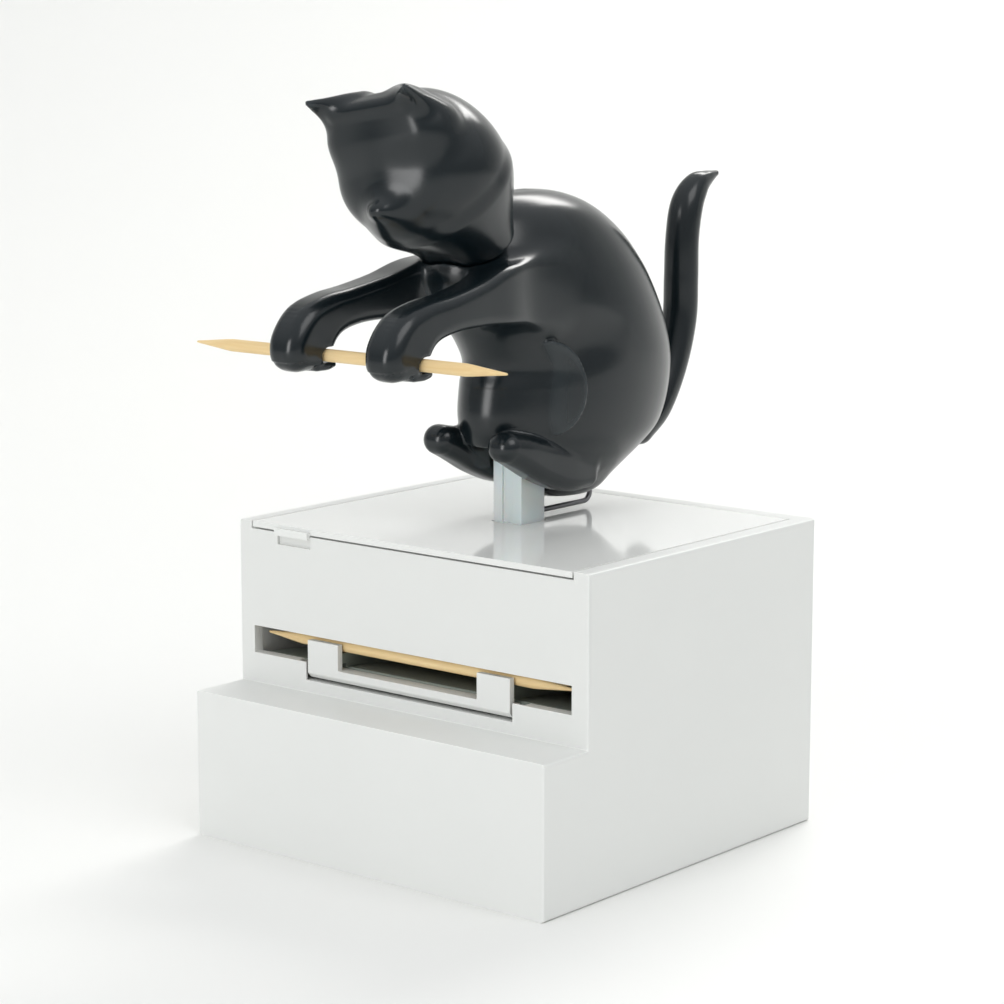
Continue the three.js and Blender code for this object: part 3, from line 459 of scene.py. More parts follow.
def skin_over(field, low, high, step):
    """The surface where a field is zero: points, quads, normals, and how sharply it bends outwards."""
    values = values_near_skin(field, low, high, step)
    cells = tuple(count - 1 for count in values.shape)
    total = np.zeros(cells + (3,))
    count = np.zeros(cells)
    crossings = []
    for axis in range(3):
        first = np.take(values, range(values.shape[axis] - 1), axis=axis)
        second = np.take(values, range(1, values.shape[axis]), axis=axis)
        hits = np.argwhere((first < 0) != (second < 0))
        at = tuple(hits.T)
        point = hits.astype(float)
        point[:, axis] += first[at] / (first[at] - second[at])
        one, other = [item for item in range(3) if item != axis]
        ring = []
        for back_one, back_other in ((0, 0), (1, 0), (1, 1), (0, 1)):
            cell = hits.copy()
            cell[:, one] -= back_one
            cell[:, other] -= back_other
            np.add.at(total, tuple(cell.T), point)
            np.add.at(count, tuple(cell.T), 1)
            ring.append(cell)
        flip = (first[at] < 0) if axis == 1 else (first[at] >= 0)
        crossings.append((ring, flip))
    used = count > 0
    number = np.full(cells, -1)
    number[used] = np.arange(used.sum())
    points = np.array(low) + step * total[used] / count[used][:, None]
    faces = []
    for ring, flip in crossings:
        quads = np.stack([number[tuple(cell.T)] for cell in ring], axis=1)
        quads[flip] = quads[flip][:, ::-1]
        faces.append(quads)
    points = onto_field(field, points, step)
    slope = slope_of(field, points, step * 0.5)
    normals = slope / np.maximum(np.linalg.norm(slope, axis=1), TINY)[:, None]
    bend = field(points - normals * WEAR_AND_SHEEN_DEPTH_SHARE) / WEAR_AND_SHEEN_DEPTH_SHARE + 1
    return points, np.vstack(faces), normals, bend


def values_near_skin(field, low, high, step):
    """A field's values on a grid, worked out in full only in the blocks near its skin."""
    block = 4
    near_enough = 2.5 * block * step
    sizes = [math.ceil((high[axis] - low[axis]) / step / block) for axis in range(3)]
    coarse = np.stack(np.meshgrid(*[np.arange(size + 1) * block for size in sizes], indexing="ij"), axis=-1)
    rough = field(np.array(low) + coarse.reshape(-1, 3) * step).reshape(coarse.shape[:3])
    near = np.zeros(sizes, dtype=bool)
    for corner in np.ndindex(2, 2, 2):
        part = tuple(slice(first, first + size) for first, size in zip(corner, sizes))
        near |= np.abs(rough[part]) < near_enough
    ranks = [np.arange(size * block + 1) for size in sizes]
    homes = [(np.minimum(rank // block, size - 1), np.maximum(rank - 1, 0) // block)
             for rank, size in zip(ranks, sizes)]
    wanted = np.zeros([len(rank) for rank in ranks], dtype=bool)
    for choice in np.ndindex(2, 2, 2):
        wanted |= near[np.ix_(*[home[pick] for home, pick in zip(homes, choice)])]
    values = rough[np.ix_(*[rank // block for rank in ranks])]
    values[wanted] = field(np.array(low) + np.argwhere(wanted) * step)
    return values


def slope_of(field, points, probe):
    """How a field changes along each axis."""
    slope = np.zeros_like(points)
    for axis in range(3):
        nudge = np.zeros(3)
        nudge[axis] = probe
        slope[:, axis] = (field(points + nudge) - field(points - nudge)) / (2 * probe)
    return slope


def onto_field(field, points, step):
    """Moves points along a field's slope until they lie where it is zero."""
    rounds = 3
    least_steep = 0.05
    longest = 0.6 * step
    for _ in range(rounds):
        value = field(points)
        slope = slope_of(field, points, step * 0.3)
        steep = np.maximum((slope ** 2).sum(axis=1), least_steep)
        move = -slope * (value / steep)[:, None]
        length = np.linalg.norm(move, axis=1)
        limit = np.minimum(1, longest / np.maximum(length, TINY))
        points = points + move * limit[:, None]
    return points


# Pieces

def link_object(name, data):
    """A new object in the scene."""
    item = bpy.data.objects.new(name, data)
    bpy.context.scene.collection.objects.link(item)
    return item


def dress(mesh, finish):
    """Gives a mesh one finish all over."""
    mesh.materials.clear()
    mesh.materials.append(finishes[finish])


def link_mesh(name, mesh, body, finish, replaced):
    """Links a finished mesh as a piece, which rides on a body and stands for CAD nodes."""
    dress(mesh, finish)
    piece = link_object(name, mesh)
    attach(piece, body)
    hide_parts(*replaced)
    return piece


def add_piece(name, points, faces, body, finish, replaced, sharp_angle=180):
    """A piece from points and faces, smooth but for the edges that turn more than the sharp angle."""
    mesh = bpy.data.meshes.new(name)
    mesh.from_pydata([tuple(point) for point in points], [], [tuple(face) for face in faces])
    mesh.shade_smooth()
    mesh.set_sharp_from_angle(angle=math.radians(sharp_angle))
    return link_mesh(name, mesh, body, finish, replaced)


def shade_by_largest(mesh):
    """Shades each corner by the largest faces there, so that flat faces stay flat."""
    least_alike = math.cos(SMOOTH_ANGLE)
    around = [[] for _ in mesh.vertices]
    for face in mesh.polygons:
        for vertex in face.vertices:
            around[vertex].append(face)
    normals = []
    for face in mesh.polygons:
        for vertex in face.vertices:
            alike = [other for other in around[vertex] if other.normal.dot(face.normal) > least_alike]
            largest = max(other.area for other in alike)
            leading = [other.normal * other.area for other in alike if other.area > largest / 2]
            normals.append(sum(leading, Vector()).normalized())
    mesh.normals_split_custom_set(normals)


def mark_round_edges(mesh, width):
    """Marks the narrow faces of the rounded edges, where the wear shows."""
    marks = mesh.attributes.new("round_edge_wear_and_sheen", "FLOAT", "FACE")
    for face in mesh.polygons:
        corners = [mesh.vertices[vertex].co for vertex in face.vertices]
        border = sum((corner - corners[index - 1]).length for index, corner in enumerate(corners))
        marks.data[face.index].value = float(2 * face.area < border * width)


def rounded_copy(node, name, body, finish, width, segments=3):
    """A moulded piece in a CAD node's shape, with its sharp edges rounded."""
    shape = bmesh.new()
    shape.from_mesh(frame["nodes"][node].data)
    bmesh.ops.remove_doubles(shape, verts=shape.verts, dist=WELD)
    bmesh.ops.dissolve_limit(shape, angle_limit=FLAT_ANGLE, verts=shape.verts, edges=shape.edges)
    draft = bpy.data.meshes.new(name + "_draft")
    shape.to_mesh(draft)
    shape.free()
    draft.shade_smooth()
    holder = link_object(name + "_draft", draft)
    bevel = holder.modifiers.new("edges", "BEVEL")
    bevel.width = width
    bevel.segments = segments
    bevel.limit_method = "ANGLE"
    bevel.angle_limit = SHARP_ANGLE
    bevel.use_clamp_overlap = True
    bevel.miter_outer = "MITER_ARC"
    graph = bpy.context.evaluated_depsgraph_get()
    mesh = bpy.data.meshes.new_from_object(holder.evaluated_get(graph), depsgraph=graph)
    mesh.name = name
    bpy.data.objects.remove(holder)
    bpy.data.meshes.remove(draft)
    shade_by_largest(mesh)
    mark_round_edges(mesh, width * 0.8)
    return link_mesh(name, mesh, body, finish, [node])


def ring_faces(rings, sides):
    """Quads between rings of points that follow each other."""
    faces = []
    for here in range(0, (rings - 1) * sides, sides):
        for side in range(sides):
            turn = (side + 1) % sides
            faces.append((here + side, here + turn, here + sides + turn, here + sides + side))
    return faces


def swept(points, radius, sides):
    """Points and faces of a round wire through a row of points, closed at both ends."""
    row = [Vector(point) for point in points]
    rings = []
    for index, point in enumerate(row):
        before = row[max(index - 1, 0)]
        after = row[min(index + 1, len(row) - 1)]
        tangent = (after - before).normalized()
        across = (Vector((1, 0, 0)) - tangent * tangent.x).normalized()
        up = tangent.cross(across)
        for side in range(sides):
            angle = side / sides * math.tau
            rings.append(point + across * math.cos(angle) * radius + up * math.sin(angle) * radius)
    last = (len(row) - 1) * sides
    caps = [tuple(reversed(range(sides))), tuple(range(last, last + sides))]
    return rings, caps[:1] + ring_faces(len(row), sides) + caps[1:]


# Finishes

def feed(tree, node, inputs):
    """Sets a node's inputs, or links those whose value is another node's output."""
    for label, value in inputs.items():
        socket = node.inputs[label]
        if isinstance(value, bpy.types.NodeSocket):
            tree.links.new(value, socket)
        elif socket.type == "RGBA":
            socket.default_value = (*value, 1.0)
        else:
            socket.default_value = value
    return node


def shader_group(name, inputs, outputs):
    """A shader node group, its input node and its output node."""
    group = bpy.data.node_groups.new(name, "ShaderNodeTree")
    for label, default in inputs.items():
        socket = group.interface.new_socket(label, in_out="INPUT", socket_type="NodeSocketFloat")
        socket.default_value = default
    for label in outputs:
        group.interface.new_socket(label, in_out="OUTPUT", socket_type="NodeSocketFloat")
    return group, group.nodes.new("NodeGroupInput"), group.nodes.new("NodeGroupOutput")


def math_node(tree, operation, first, second, clamp=False):
    """The result of a Math node."""
    node = tree.nodes.new("ShaderNodeMath")
    node.operation = operation
    node.use_clamp = clamp
    return feed(tree, node, {0: first, 1: second}).outputs[0]


def map_range(tree, value, low, high):
    """Spreads a value between 0 and 1 over another range."""
    inputs = {"Value": value, "To Min": low, "To Max": high}
    return feed(tree, tree.nodes.new("ShaderNodeMapRange"), inputs).outputs["Result"]


def mix_colour(tree, share, first, second):
    """A mix of two colours."""
    node = tree.nodes.new("ShaderNodeMix")
    node.data_type = "RGBA"
    return feed(tree, node, {0: share, 6: first, 7: second}).outputs[2]


def z_of(tree, vector):
    """The upward part of a vector."""
    return feed(tree, tree.nodes.new("ShaderNodeSeparateXYZ"), {0: vector}).outputs["Z"]


def noise_node(tree, scale, detail, rough, stretch=None):
    """Noise on the piece's own axes; a stretch gives each axis its scale, low along a grain."""
    place = tree.nodes.new("ShaderNodeTexCoord").outputs["Object"]
    if stretch:
        mapping = feed(tree, tree.nodes.new("ShaderNodeMapping"), {"Vector": place, "Scale": stretch})
        place = mapping.outputs["Vector"]
    inputs = {"Vector": place, "Scale": scale, "Detail": detail, "Roughness": rough}
    return feed(tree, tree.nodes.new("ShaderNodeTexNoise"), inputs).outputs["Fac"]


def bumped(tree, height, distance, strength=1.0):
    """The normal of a surface that a height stands out from."""
    inputs = {"Height": height, "Distance": distance, "Strength": strength}
    return feed(tree, tree.nodes.new("ShaderNodeBump"), inputs).outputs["Normal"]


def make_moulded_skin():
    """Orange peel, faint flow tone and rubbed edges of moulded plastic; on the kitten's bends the rubbed edges
    also stand as a painted highlight.
    """
    inputs = {"Peel Scale": 1100.0, "Flow Scale": 36.0, "Rub And Sheen": 1.0}
    group, source, result = shader_group("moulded_skin", inputs, ["Peel", "Flow", "Rub And Sheen"])
    peel = noise_node(group, source.outputs["Peel Scale"], 3.0, 0.6)
    flow = noise_node(group, source.outputs["Flow Scale"], 3.0, 0.55)
    mark = group.nodes.new("ShaderNodeAttribute")
    mark.attribute_name = "round_edge_wear_and_sheen"
    patch = math_node(group, "MULTIPLY", flow, 1.4, True)
    rub_and_sheen = math_node(group, "MULTIPLY", mark.outputs["Fac"], patch, True)
    rub_and_sheen = math_node(group, "MULTIPLY", rub_and_sheen, source.outputs["Rub And Sheen"], True)
    feed(group, result, {"Peel": peel, "Flow": flow, "Rub And Sheen": rub_and_sheen})


def make_settled_dust():
    """A thin film of dust on faces that look up."""
    group, source, result = shader_group("settled_dust", {"Amount": 0.2}, ["Dust"])
    geometry = group.nodes.new("ShaderNodeNewGeometry")
    up = math_node(group, "SMOOTH_MAX", z_of(group, geometry.outputs["Normal"]), 0.0)
    up = math_node(group, "POWER", up, 3.0, True)
    dust = math_node(group, "MULTIPLY", up, noise_node(group, 260.0, 4.0, 0.7))
    dust = math_node(group, "MULTIPLY", dust, source.outputs["Amount"], True)
    feed(group, result, {"Dust": dust})


def new_material(name):
    """An empty node material with its shader."""
    material = bpy.data.materials.new(name)
    material.use_nodes = True
    tree = material.node_tree
    return material, tree, tree.nodes["Principled BSDF"]


def add_group(tree, name, values):
    """A shared group in a material, with its own values."""
    node = tree.nodes.new("ShaderNodeGroup")
    node.node_tree = bpy.data.node_groups[name]
    return feed(tree, node, values)


def plastic(name, tones, roughness, peel, dust, rub_and_sheen=1.0, scatter=0.0):
    """Moulded plastic: two close tones and a worn one (on the kitten also a painted highlight), a range of
    roughness, depth of the peel.
    """
    material, tree, shader = new_material(name)
    skin = add_group(tree, "moulded_skin", {"Rub And Sheen": rub_and_sheen})
    film = add_group(tree, "settled_dust", {"Amount": dust}).outputs["Dust"]
    tone = mix_colour(tree, skin.outputs["Flow"], tones[0], tones[1])
    worn_and_sheened = mix_colour(tree, skin.outputs["Rub And Sheen"], tone, tones[2])
    rough = map_range(tree, skin.outputs["Flow"], *roughness)
    dull = math_node(tree, "MULTIPLY", film, DUST_ROUGHNESS)
    feed(tree, shader, {
        "Base Color": mix_colour(tree, film, worn_and_sheened, DUST_COLOUR),
        "Roughness": math_node(tree, "ADD", rough, dull),
        "Subsurface Weight": scatter,
        "Normal": bumped(tree, skin.outputs["Peel"], peel),
    })
    return material


def metal(name, tones, roughness, brush):
    """Drawn or plated metal with fine lines along it."""
    material, tree, shader = new_material(name)
    lines = noise_node(tree, 1.0, 3.0, 0.6, brush)
    feed(tree, shader, {
        "Base Color": mix_colour(tree, lines, *tones),
        "Metallic": 1.0,
        "Roughness": map_range(tree, lines, *roughness),
        "Normal": bumped(tree, lines, 0.004 * MM),
    })
    return material


def turned_wood(name, pale, deep):
    """Turned wood with its grain along X."""
    material, tree, shader = new_material(name)
    grain = noise_node(tree, 1.0, 5.0, 0.62, (70.0, 1400.0, 1400.0))
    patch = map_range(tree, noise_node(tree, 45.0, 2.0, 0.5), 0.6, 1.5)
    feed(tree, shader, {
        "Base Color": mix_colour(tree, math_node(tree, "MULTIPLY", grain, patch, True), deep, pale),
        "Roughness": map_range(tree, grain, 0.5, 0.72),
        "Specular IOR Level": 0.35,
        "Subsurface Weight": 0.08,
        "Subsurface Radius": (1.0 * MM, 0.6 * MM, 0.3 * MM),
        "Normal": bumped(tree, grain, 0.04 * MM, 0.7),
    })
    return material


def scaled(colour, share):
    """A colour with every channel brought to a share."""
    return tuple(channel * share for channel in colour)


def make_finishes(scene):
    """Every finish of the dispenser."""
    make_moulded_skin()
    make_settled_dust()
    shell = tuple(scene.block_sizes.shell_colour)
    coat = tuple(scene.kitten_sizes.coat_colour)
    worn = (0.9, 0.9, 0.88)
    post = ((0.78, 0.80, 0.78), (0.84, 0.86, 0.84), (0.90, 0.91, 0.89))
    tray = ((0.24, 0.28, 0.25), (0.28, 0.32, 0.29), (0.35, 0.38, 0.35))
    # The kitten's lighter third tone goes on its outward bends: wear, and a painted highlight along its edges.
    kitten = (scaled(coat, 0.75), coat, (0.03, 0.04, 0.045))
    # Tones and worn tone, roughness from and to, depth of the peel, dust, rub and painted sheen, scatter
    plastics = {
        "shell": ((scaled(shell, 0.95), shell, worn), (0.34, 0.44), 0.010 * MM, 0.08),
        # The lid's tones are the shell's lightened by six per cent: painted light on its lit top face.
        "lid": ((shell, scaled(shell, 1.06), worn), (0.05, 0.1), 0.002 * MM, 0.05),
        "post": (post, (0.16, 0.24), 0.006 * MM, 0.03, 1.0, 0.25),
        "tray": (tray, (0.5, 0.62), 0.015 * MM, 0.1),
        "kitten": (kitten, (0.19, 0.26), 0.005 * MM, 0.003, 0.7),
    }
    for name, values in plastics.items():
        finishes[name] = plastic(name + "_plastic", *values)
    steel = ((0.5, 0.5, 0.51), (0.66, 0.66, 0.67))
    wire = ((0.2, 0.2, 0.21), (0.3, 0.3, 0.31))
    finishes["steel"] = metal("plated_steel", steel, (0.22, 0.36), (40.0, 2000.0, 2000.0))
    finishes["wire"] = metal("drawn_wire", wire, (0.28, 0.42), (2000.0, 60.0, 60.0))
    finishes["birch"] = turned_wood("birch", (0.90, 0.72, 0.42), (0.70, 0.47, 0.20))


# Sizes that a user would change

class DISPENSER_PG_block(PropertyGroup):
    shell_round: FloatProperty(
        name="Shell edge round", description="Radius of the block's moulded edges",
        default=0.4 * MM, unit="LENGTH")
    lid_round: FloatProperty(
        name="Lid edge round", description="Radius of the lid's edges",
        default=0.18 * MM, unit="LENGTH")
    small_round: FloatProperty(
        name="Small edge round", description="Radius of the edges of the gate, post and screws",
        default=0.12 * MM, unit="LENGTH")
    shell_colour: FloatVectorProperty(
        name="Shell colour", description="Colour of the block and the lid",
        default=(0.775, 0.785, 0.765), subtype="COLOR", size=3)


class DISPENSER_PG_kitten(PropertyGroup):
    height: FloatProperty(
        name="Kitten height", description="Height that the kitten's tables are shares of",
        default=70 * MM, unit="LENGTH")
    mesh_step: FloatProperty(
        name="Mesh step", description="Size of the kitten's faces",
        default=0.42 * MM, unit="LENGTH")
    coat_colour: FloatVectorProperty(
        name="Coat colour", description="Colour of the kitten's plastic",
        default=(0.0045, 0.0090, 0.0115), subtype="COLOR", size=3)


class DISPENSER_PG_toothpick(PropertyGroup):
    taper: FloatProperty(
        name="Taper", description="Length of each turned point",
        default=8 * MM, unit="LENGTH")
    sides: IntProperty(
        name="Sides", description="Sides of each toothpick",
        default=18, min=8)


class DISPENSER_PG_stage(PropertyGroup):
    azimuth: FloatProperty(
        name="Azimuth", description="Turn of the camera from the front towards the right",
        default=math.radians(39.6), subtype="ANGLE")
    elevation: FloatProperty(
        name="Elevation", description="Height of the camera over the horizon",
        default=math.radians(10.6), subtype="ANGLE")
    distance: FloatProperty(
        name="Distance", description="Distance of the camera from the object's middle",
        default=470 * MM, unit="LENGTH")
    frame_width: FloatProperty(
        name="Frame width", description="Width of the picture at the object",
        default=165.8 * MM, unit="LENGTH")


# Builders

def on_circle(x, y, z, radius, angle):
    """A point on a circle square to X."""
    return x, y + math.cos(angle) * radius, z + math.sin(angle) * radius


class DISPENSER_OT_block(Operator):
    """Builds the stepped block, its bottom cover and its tray"""

    bl_idname = "dispenser.block"
    bl_label = "Block"

    def execute(self, context):
        sizes = context.scene.block_sizes
        rounded_copy("base_housing", "block_shell", "block", "shell", sizes.shell_round)
        rounded_copy("bottom_cover", "block_cover", "block", "shell", sizes.small_round)
        rounded_copy("magazine_tray", "pick_tray", "block", "tray", sizes.small_round)
        self.sill()
        return {"FINISHED"}

    def sill(self):
        """The chute's floor just inside the slot: a bent plate with a rounded front edge."""
        side_gap = 0.2 * MM
        rise = 2.2 * MM
        thick = 0.6 * MM
        top_line = [(0, -0.25), (0.25, 0), (4, -0.3), (9, -0.9), (14, -1.7)]
        gate_low, gate_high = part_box("feed_gate")
        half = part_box("magazine_tray")[1][0] - side_gap
        front = gate_high[1] + PICK_GAP
        profile = [(front + y * MM, gate_low[2] + rise + z * MM) for y, z in top_line]
        profile += [(y, z - thick) for y, z in reversed(profile)]
        count = len(profile)
        points = [(x, y, z) for x in (-half, half) for y, z in profile]
        faces = [tuple(range(count)), tuple(reversed(range(count, 2 * count)))]
        for side in range(count):
            turn = (side + 1) % count
            faces.append((side, side + count, turn + count, turn))
        add_piece("chute_sill", points, faces, "block", "tray", [], sharp_angle=35)


class DISPENSER_OT_lid(Operator):
    """Builds the lid with its pull tab"""

    bl_idname = "dispenser.lid"
    bl_label = "Lid"

    def execute(self, context):
        rounded_copy("lid_panel", "glossy_lid", "lid", "lid", context.scene.block_sizes.lid_round)
        return {"FINISHED"}


class DISPENSER_OT_post(Operator):
    """Builds the grooved post and the stop wire behind it"""

    bl_idname = "dispenser.post"
    bl_label = "Post and wire"

    def execute(self, context):
        small = context.scene.block_sizes.small_round
        rounded_copy("fulcrum_post", "grooved_post", "lid", "post", small)
        low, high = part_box("stop_wire")
        radius = (high[0] - low[0]) / 2
        bend = 1.6 * MM
        steps = 8
        leg_z = low[2] + radius
        tip_y = high[1] - radius
        points = [(0, low[1], leg_z)]
        for step in range(steps + 1):
            angle = (step / steps - 1) * math.pi / 2
            points.append(on_circle(0, tip_y - bend, leg_z + bend, bend, angle))
        points.append((0, tip_y, high[2]))
        wire, faces = swept(points, radius, sides=20)
        add_piece("bent_stop_wire", wire, faces, "lid", "wire", ["stop_wire"], sharp_angle=60)
        return {"FINISHED"}


class DISPENSER_OT_gate(Operator):
    """Builds the feed gate in the slot"""

    bl_idname = "dispenser.gate"
    bl_label = "Gate"

    def execute(self, context):
        small = context.scene.block_sizes.small_round
        rounded_copy("feed_gate", "slot_gate", "gate", "shell", small)
        return {"FINISHED"}


class DISPENSER_OT_fasteners(Operator):
    """Builds the screws, and finishes the pins and the springs"""

    bl_idname = "dispenser.fasteners"
    bl_label = "Screws, pins and springs"

    def execute(self, context):
        small = context.scene.block_sizes.small_round
        bodies = frame["record"]["behaviour"]["bodies"]
        body_of = {node: body for body, nodes in bodies.items() for node in nodes}
        for node in frame["nodes"]:
            if "_screw" in node:
                rounded_copy(node, node + "_plated", body_of[node], "steel", small, segments=2)
        for node in ("gate_pin", "gate_spring", "pivot_pin"):
            dress(frame["nodes"][node].data, "steel")
        self.return_coil()
        return {"FINISHED"}

    def return_coil(self):
        """The torsion coil round the pivot pin, as a smooth wire."""
        wire = 0.6 * MM
        turns = 3
        steps = 20
        fork = 3.4 * MM
        gap = 0.3 * MM
        radius = 1.6 * MM
        tang = Vector((0, 0, 1.5 * MM))
        pitch = (fork - 2 * gap - wire) / turns
        start = (wire - fork) / 2 + gap
        points = []
        for step in range(turns * steps + 1):
            turn = step / steps
            place = on_circle(start + turn * pitch, PIVOT[1], PIVOT[2], radius, turn * math.tau)
            points.append(Vector(place))
        coil, faces = swept([points[0] - tang, *points, points[-1] + tang], wire / 2, sides=10)
        add_piece("return_coil", coil, faces, "lid", "steel", ["return_spring"], sharp_angle=60)


class DISPENSER_OT_toothpicks(Operator):
    """Builds the toothpick in the paws, the one in the slot and those on the tray"""

    bl_idname = "dispenser.toothpicks"
    bl_label = "Toothpicks"

    def execute(self, context):
        sizes = context.scene.toothpick_sizes
        for node in frame["nodes"]:
            if node.endswith("toothpick") or node.startswith("spare_toothpick"):
                self.toothpick(node, sizes)
        return {"FINISHED"}

    def toothpick(self, node, sizes):
        """One turned toothpick, with long points and blunt tips."""
        low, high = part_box(node)
        radius = (high[2] - low[2]) / 2
        half = (high[0] - low[0]) / 2
        x, y, z = [(low[axis] + high[axis]) / 2 for axis in range(3)]
        rows = [(-half + along * sizes.taper, share * radius) for along, share in POINT_SHARES]
        rows += [(-along, size) for along, size in reversed(rows)]
        points = []
        for along, size in rows:
            for side in range(sizes.sides):
                points.append(on_circle(x + along, y, z, size, side / sizes.sides * math.tau))
        quads = ring_faces(len(rows), sizes.sides)
        faces = [(here, over, across, turn) for here, turn, across, over in quads]
        body = "held_pick" if node.startswith("held") else "block"
        piece = add_piece("turned_" + node, points, faces, body, "birch", [node], sharp_angle=50)
        shape = bmesh.new()
        shape.from_mesh(piece.data)
        bmesh.ops.remove_doubles(shape, verts=shape.verts, dist=WELD / 10)
        shape.to_mesh(piece.data)
        shape.free()


def kitten_skin(name, field, box, replaced):
    """A kitten piece: the skin over a field in its box."""
    sizes = bpy.context.scene.kitten_sizes
    step = share_of_height(sizes.mesh_step) * 1
    points, faces, normals, bend = skin_over(field, *box, step)
    places = points * sizes.height + PIVOT
    piece = add_piece(name, places, faces, "kitten", "kitten", replaced)
    piece.data.normals_split_custom_set_from_vertices(normals)
    # A lighter tone on outward bends: wear, and a painted highlight along the kitten's edges.
    marks = piece.data.attributes.new("round_edge_wear_and_sheen", "FLOAT", "POINT")
    marks.data.foreach_set("value", np.clip((bend - WEAR_AND_SHEEN_START) / WEAR_AND_SHEEN_RANGE, 0, 1))
    return piece


class DISPENSER_OT_kitten_body(Operator):
    """Builds the kitten's trunk, thighs, feet and forelegs"""

    bl_idname = "dispenser.kitten_body"
    bl_label = "Kitten body"

    def execute(self, context):
        parts = ("kitten_body", "kitten_foreleg", "kitten_hind_leg")
        nodes = [part + side for part in parts for side in ("_left", "_right")]
        kitten_skin("kitten_trunk_and_legs", body_field, BODY_BOX_SHARES, nodes)
        return {"FINISHED"}


class DISPENSER_OT_kitten_head(Operator):
    """Builds the kitten's head with its neck, ears and face"""

    bl_idname = "dispenser.kitten_head"
    bl_label = "Kitten head"

    def execute(self, context):
        kitten_skin("kitten_head_and_ears", head_field, HEAD_BOX_SHARES, ["kitten_head"])
        return {"FINISHED"}


class DISPENSER_OT_kitten_tail(Operator):
    """Builds the kitten's tail"""

    bl_idname = "dispenser.kitten_tail"
    bl_label = "Kitten tail"

    def execute(self, context):
        kitten_skin("kitten_curved_tail", tail_field, TAIL_BOX_SHARES, ["kitten_tail"])
        return {"FINISHED"}


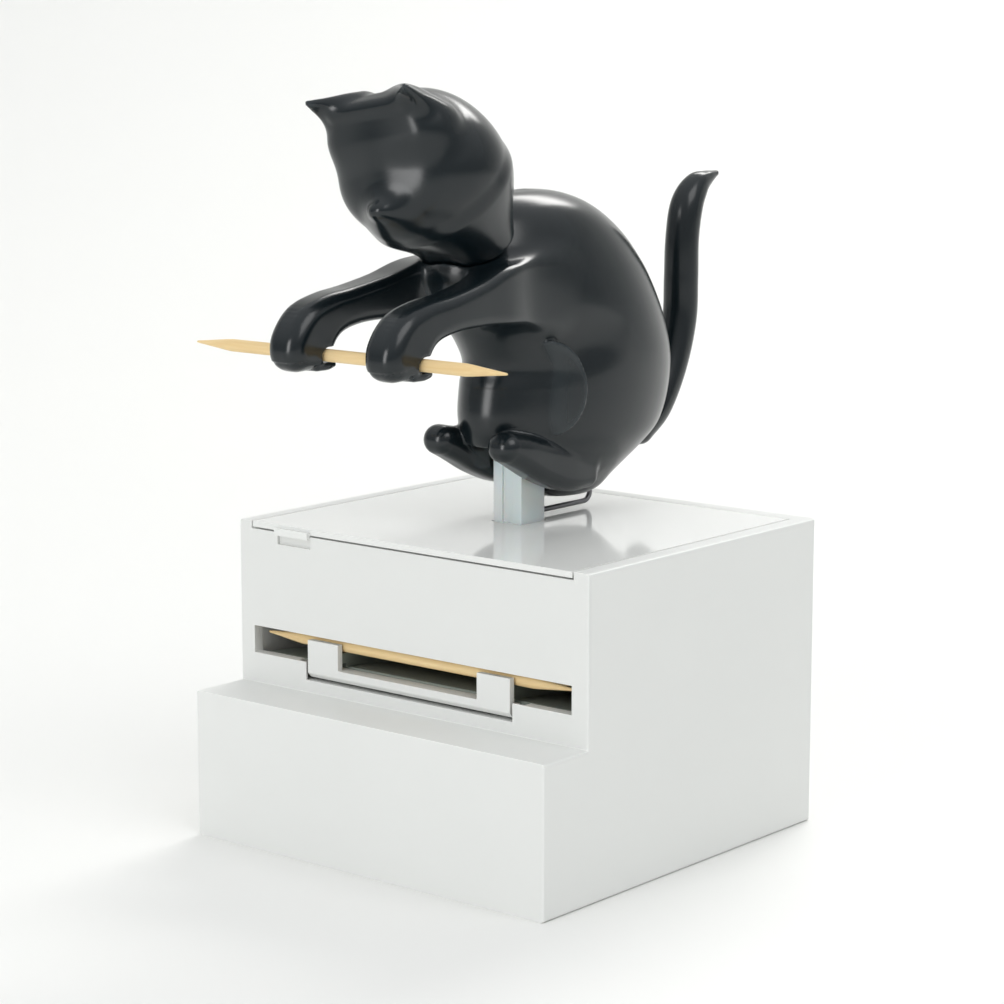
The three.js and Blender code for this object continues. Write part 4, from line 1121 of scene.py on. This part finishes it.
class DISPENSER_OT_stage(Operator):
    """Builds the table, the studio lights and the camera"""

    bl_idname = "dispenser.stage"
    bl_label = "Stage"

    def execute(self, context):
        self.table()
        self.lights(context.scene)
        self.camera(context.scene)
        return {"FINISHED"}

    def table(self):
        """A pale table that curves up into a wall behind."""
        half = 5.0
        front = -6.0
        back = 0.5
        bend = 0.5
        top = 1.4
        steps = 10
        profile = [(front, 0.0), (back, 0.0)]
        for step in range(1, steps + 1):
            angle = step / steps * math.pi / 2
            profile.append((back + math.sin(angle) * bend, bend - math.cos(angle) * bend))
        profile.append((back + bend, top))
        points = [(x, y, z) for y, z in profile for x in (-half, half)]
        faces = [(2 * row, 2 * row + 1, 2 * row + 3, 2 * row + 2) for row in range(len(profile) - 1)]
        mesh = bpy.data.meshes.new("table")
        mesh.from_pydata(points, [], faces)
        mesh.shade_smooth()
        material, tree, shader = new_material("pale_table")
        feed(tree, shader, {"Base Color": (0.84, 0.84, 0.82), "Roughness": 0.6})
        mesh.materials.append(material)
        table = link_object("table", mesh)
        table.rotation_euler[2] = bpy.context.scene.stage_sizes.azimuth

    def lights(self, scene):
        """Soft boxes behind and in front, and an even sky."""
        aim = Vector((0, 0, 70 * MM))
        warm = (1.0, 0.99, 0.97)
        white = (1.0, 1.0, 1.0)
        # Name: place, width and height in metres, watts, colour
        boxes = {
            "back_box": ((-0.35, 0.95, 0.95), 0.75, 0.40, 9.5, warm),
            "front_box": ((-0.02, -1.10, 0.30), 0.35, 0.60, 3.7, white),
            "side_box": ((0.90, -0.10, 1.00), 0.90, 0.70, 4.8, white),
        }
        for name, (place, width, height, power, colour) in boxes.items():
            light = bpy.data.lights.new(name, "AREA")
            light.shape = "RECTANGLE"
            light.size = width
            light.size_y = height
            light.energy = power
            light.color = colour
            self.aimed(name, light, Vector(place), aim)
        world = bpy.data.worlds.new("studio_air")
        world.use_nodes = True
        tree = world.node_tree
        up = z_of(tree, tree.nodes.new("ShaderNodeTexCoord").outputs["Generated"])
        sky = map_range(tree, up, 0.32, 0.92)
        feed(tree, tree.nodes["Background"], {"Color": (0.96, 0.98, 1.0), "Strength": sky})
        scene.world = world
        scene.view_settings.view_transform = "Standard"

    def camera(self, scene):
        """The camera at the photograph's viewing angle."""
        sizes = scene.stage_sizes
        azimuth, elevation = sizes.azimuth, sizes.elevation
        aim_right = -0.8 * MM
        aim_up = 5.4 * MM
        back = Vector((
            math.sin(azimuth) * math.cos(elevation),
            -math.cos(azimuth) * math.cos(elevation),
            math.sin(elevation),
        ))
        right = Vector((math.cos(azimuth), math.sin(azimuth), 0))
        up = back.cross(right)
        middle = Vector((0, 0, 50 * MM))
        place = middle + back * sizes.distance
        aim = middle + right * aim_right + up * aim_up
        data = bpy.data.cameras.new("camera")
        data.sensor_width = 36.0
        data.lens = data.sensor_width * sizes.distance / sizes.frame_width
        data.clip_start = 0.01
        scene.camera = self.aimed("camera", data, place, aim)

    def aimed(self, name, data, place, aim):
        """A lamp or a camera that looks from its place at an aim."""
        item = link_object(name, data)
        item.location = place
        item.rotation_euler = (aim - place).to_track_quat("-Z", "Y").to_euler()
        return item


class DISPENSER_PT_builders(Panel):
    """The dispenser's builders"""

    bl_label = "Dispenser"
    bl_idname = "DISPENSER_PT_builders"
    bl_space_type = "VIEW_3D"
    bl_region_type = "UI"
    bl_category = "Dispenser"

    def draw(self, context):
        column = self.layout.column()
        for builder in BUILDERS:
            column.operator(builder.bl_idname)


BUILDERS = [
    DISPENSER_OT_stage,
    DISPENSER_OT_block,
    DISPENSER_OT_lid,
    DISPENSER_OT_post,
    DISPENSER_OT_gate,
    DISPENSER_OT_fasteners,
    DISPENSER_OT_toothpicks,
    DISPENSER_OT_kitten_body,
    DISPENSER_OT_kitten_head,
    DISPENSER_OT_kitten_tail,
]
SETTINGS = {
    "block_sizes": DISPENSER_PG_block,
    "kitten_sizes": DISPENSER_PG_kitten,
    "toothpick_sizes": DISPENSER_PG_toothpick,
    "stage_sizes": DISPENSER_PG_stage,
}


def register():
    for name, group in SETTINGS.items():
        bpy.utils.register_class(group)
        setattr(bpy.types.Scene, name, PointerProperty(type=group))
    for builder in BUILDERS:
        bpy.utils.register_class(builder)
    bpy.utils.register_class(DISPENSER_PT_builders)


def unregister():
    bpy.utils.unregister_class(DISPENSER_PT_builders)
    for builder in reversed(BUILDERS):
        bpy.utils.unregister_class(builder)
    for name, group in SETTINGS.items():
        delattr(bpy.types.Scene, name)
        bpy.utils.unregister_class(group)


def main():
    register()
    make_finishes(bpy.context.scene)
    bpy.ops.dispenser.stage()
    bpy.ops.dispenser.block()
    bpy.ops.dispenser.lid()
    bpy.ops.dispenser.post()
    bpy.ops.dispenser.gate()
    bpy.ops.dispenser.fasteners()
    bpy.ops.dispenser.toothpicks()
    bpy.ops.dispenser.kitten_body()
    bpy.ops.dispenser.kitten_head()
    bpy.ops.dispenser.kitten_tail()


if __name__ == "__main__":
    main()
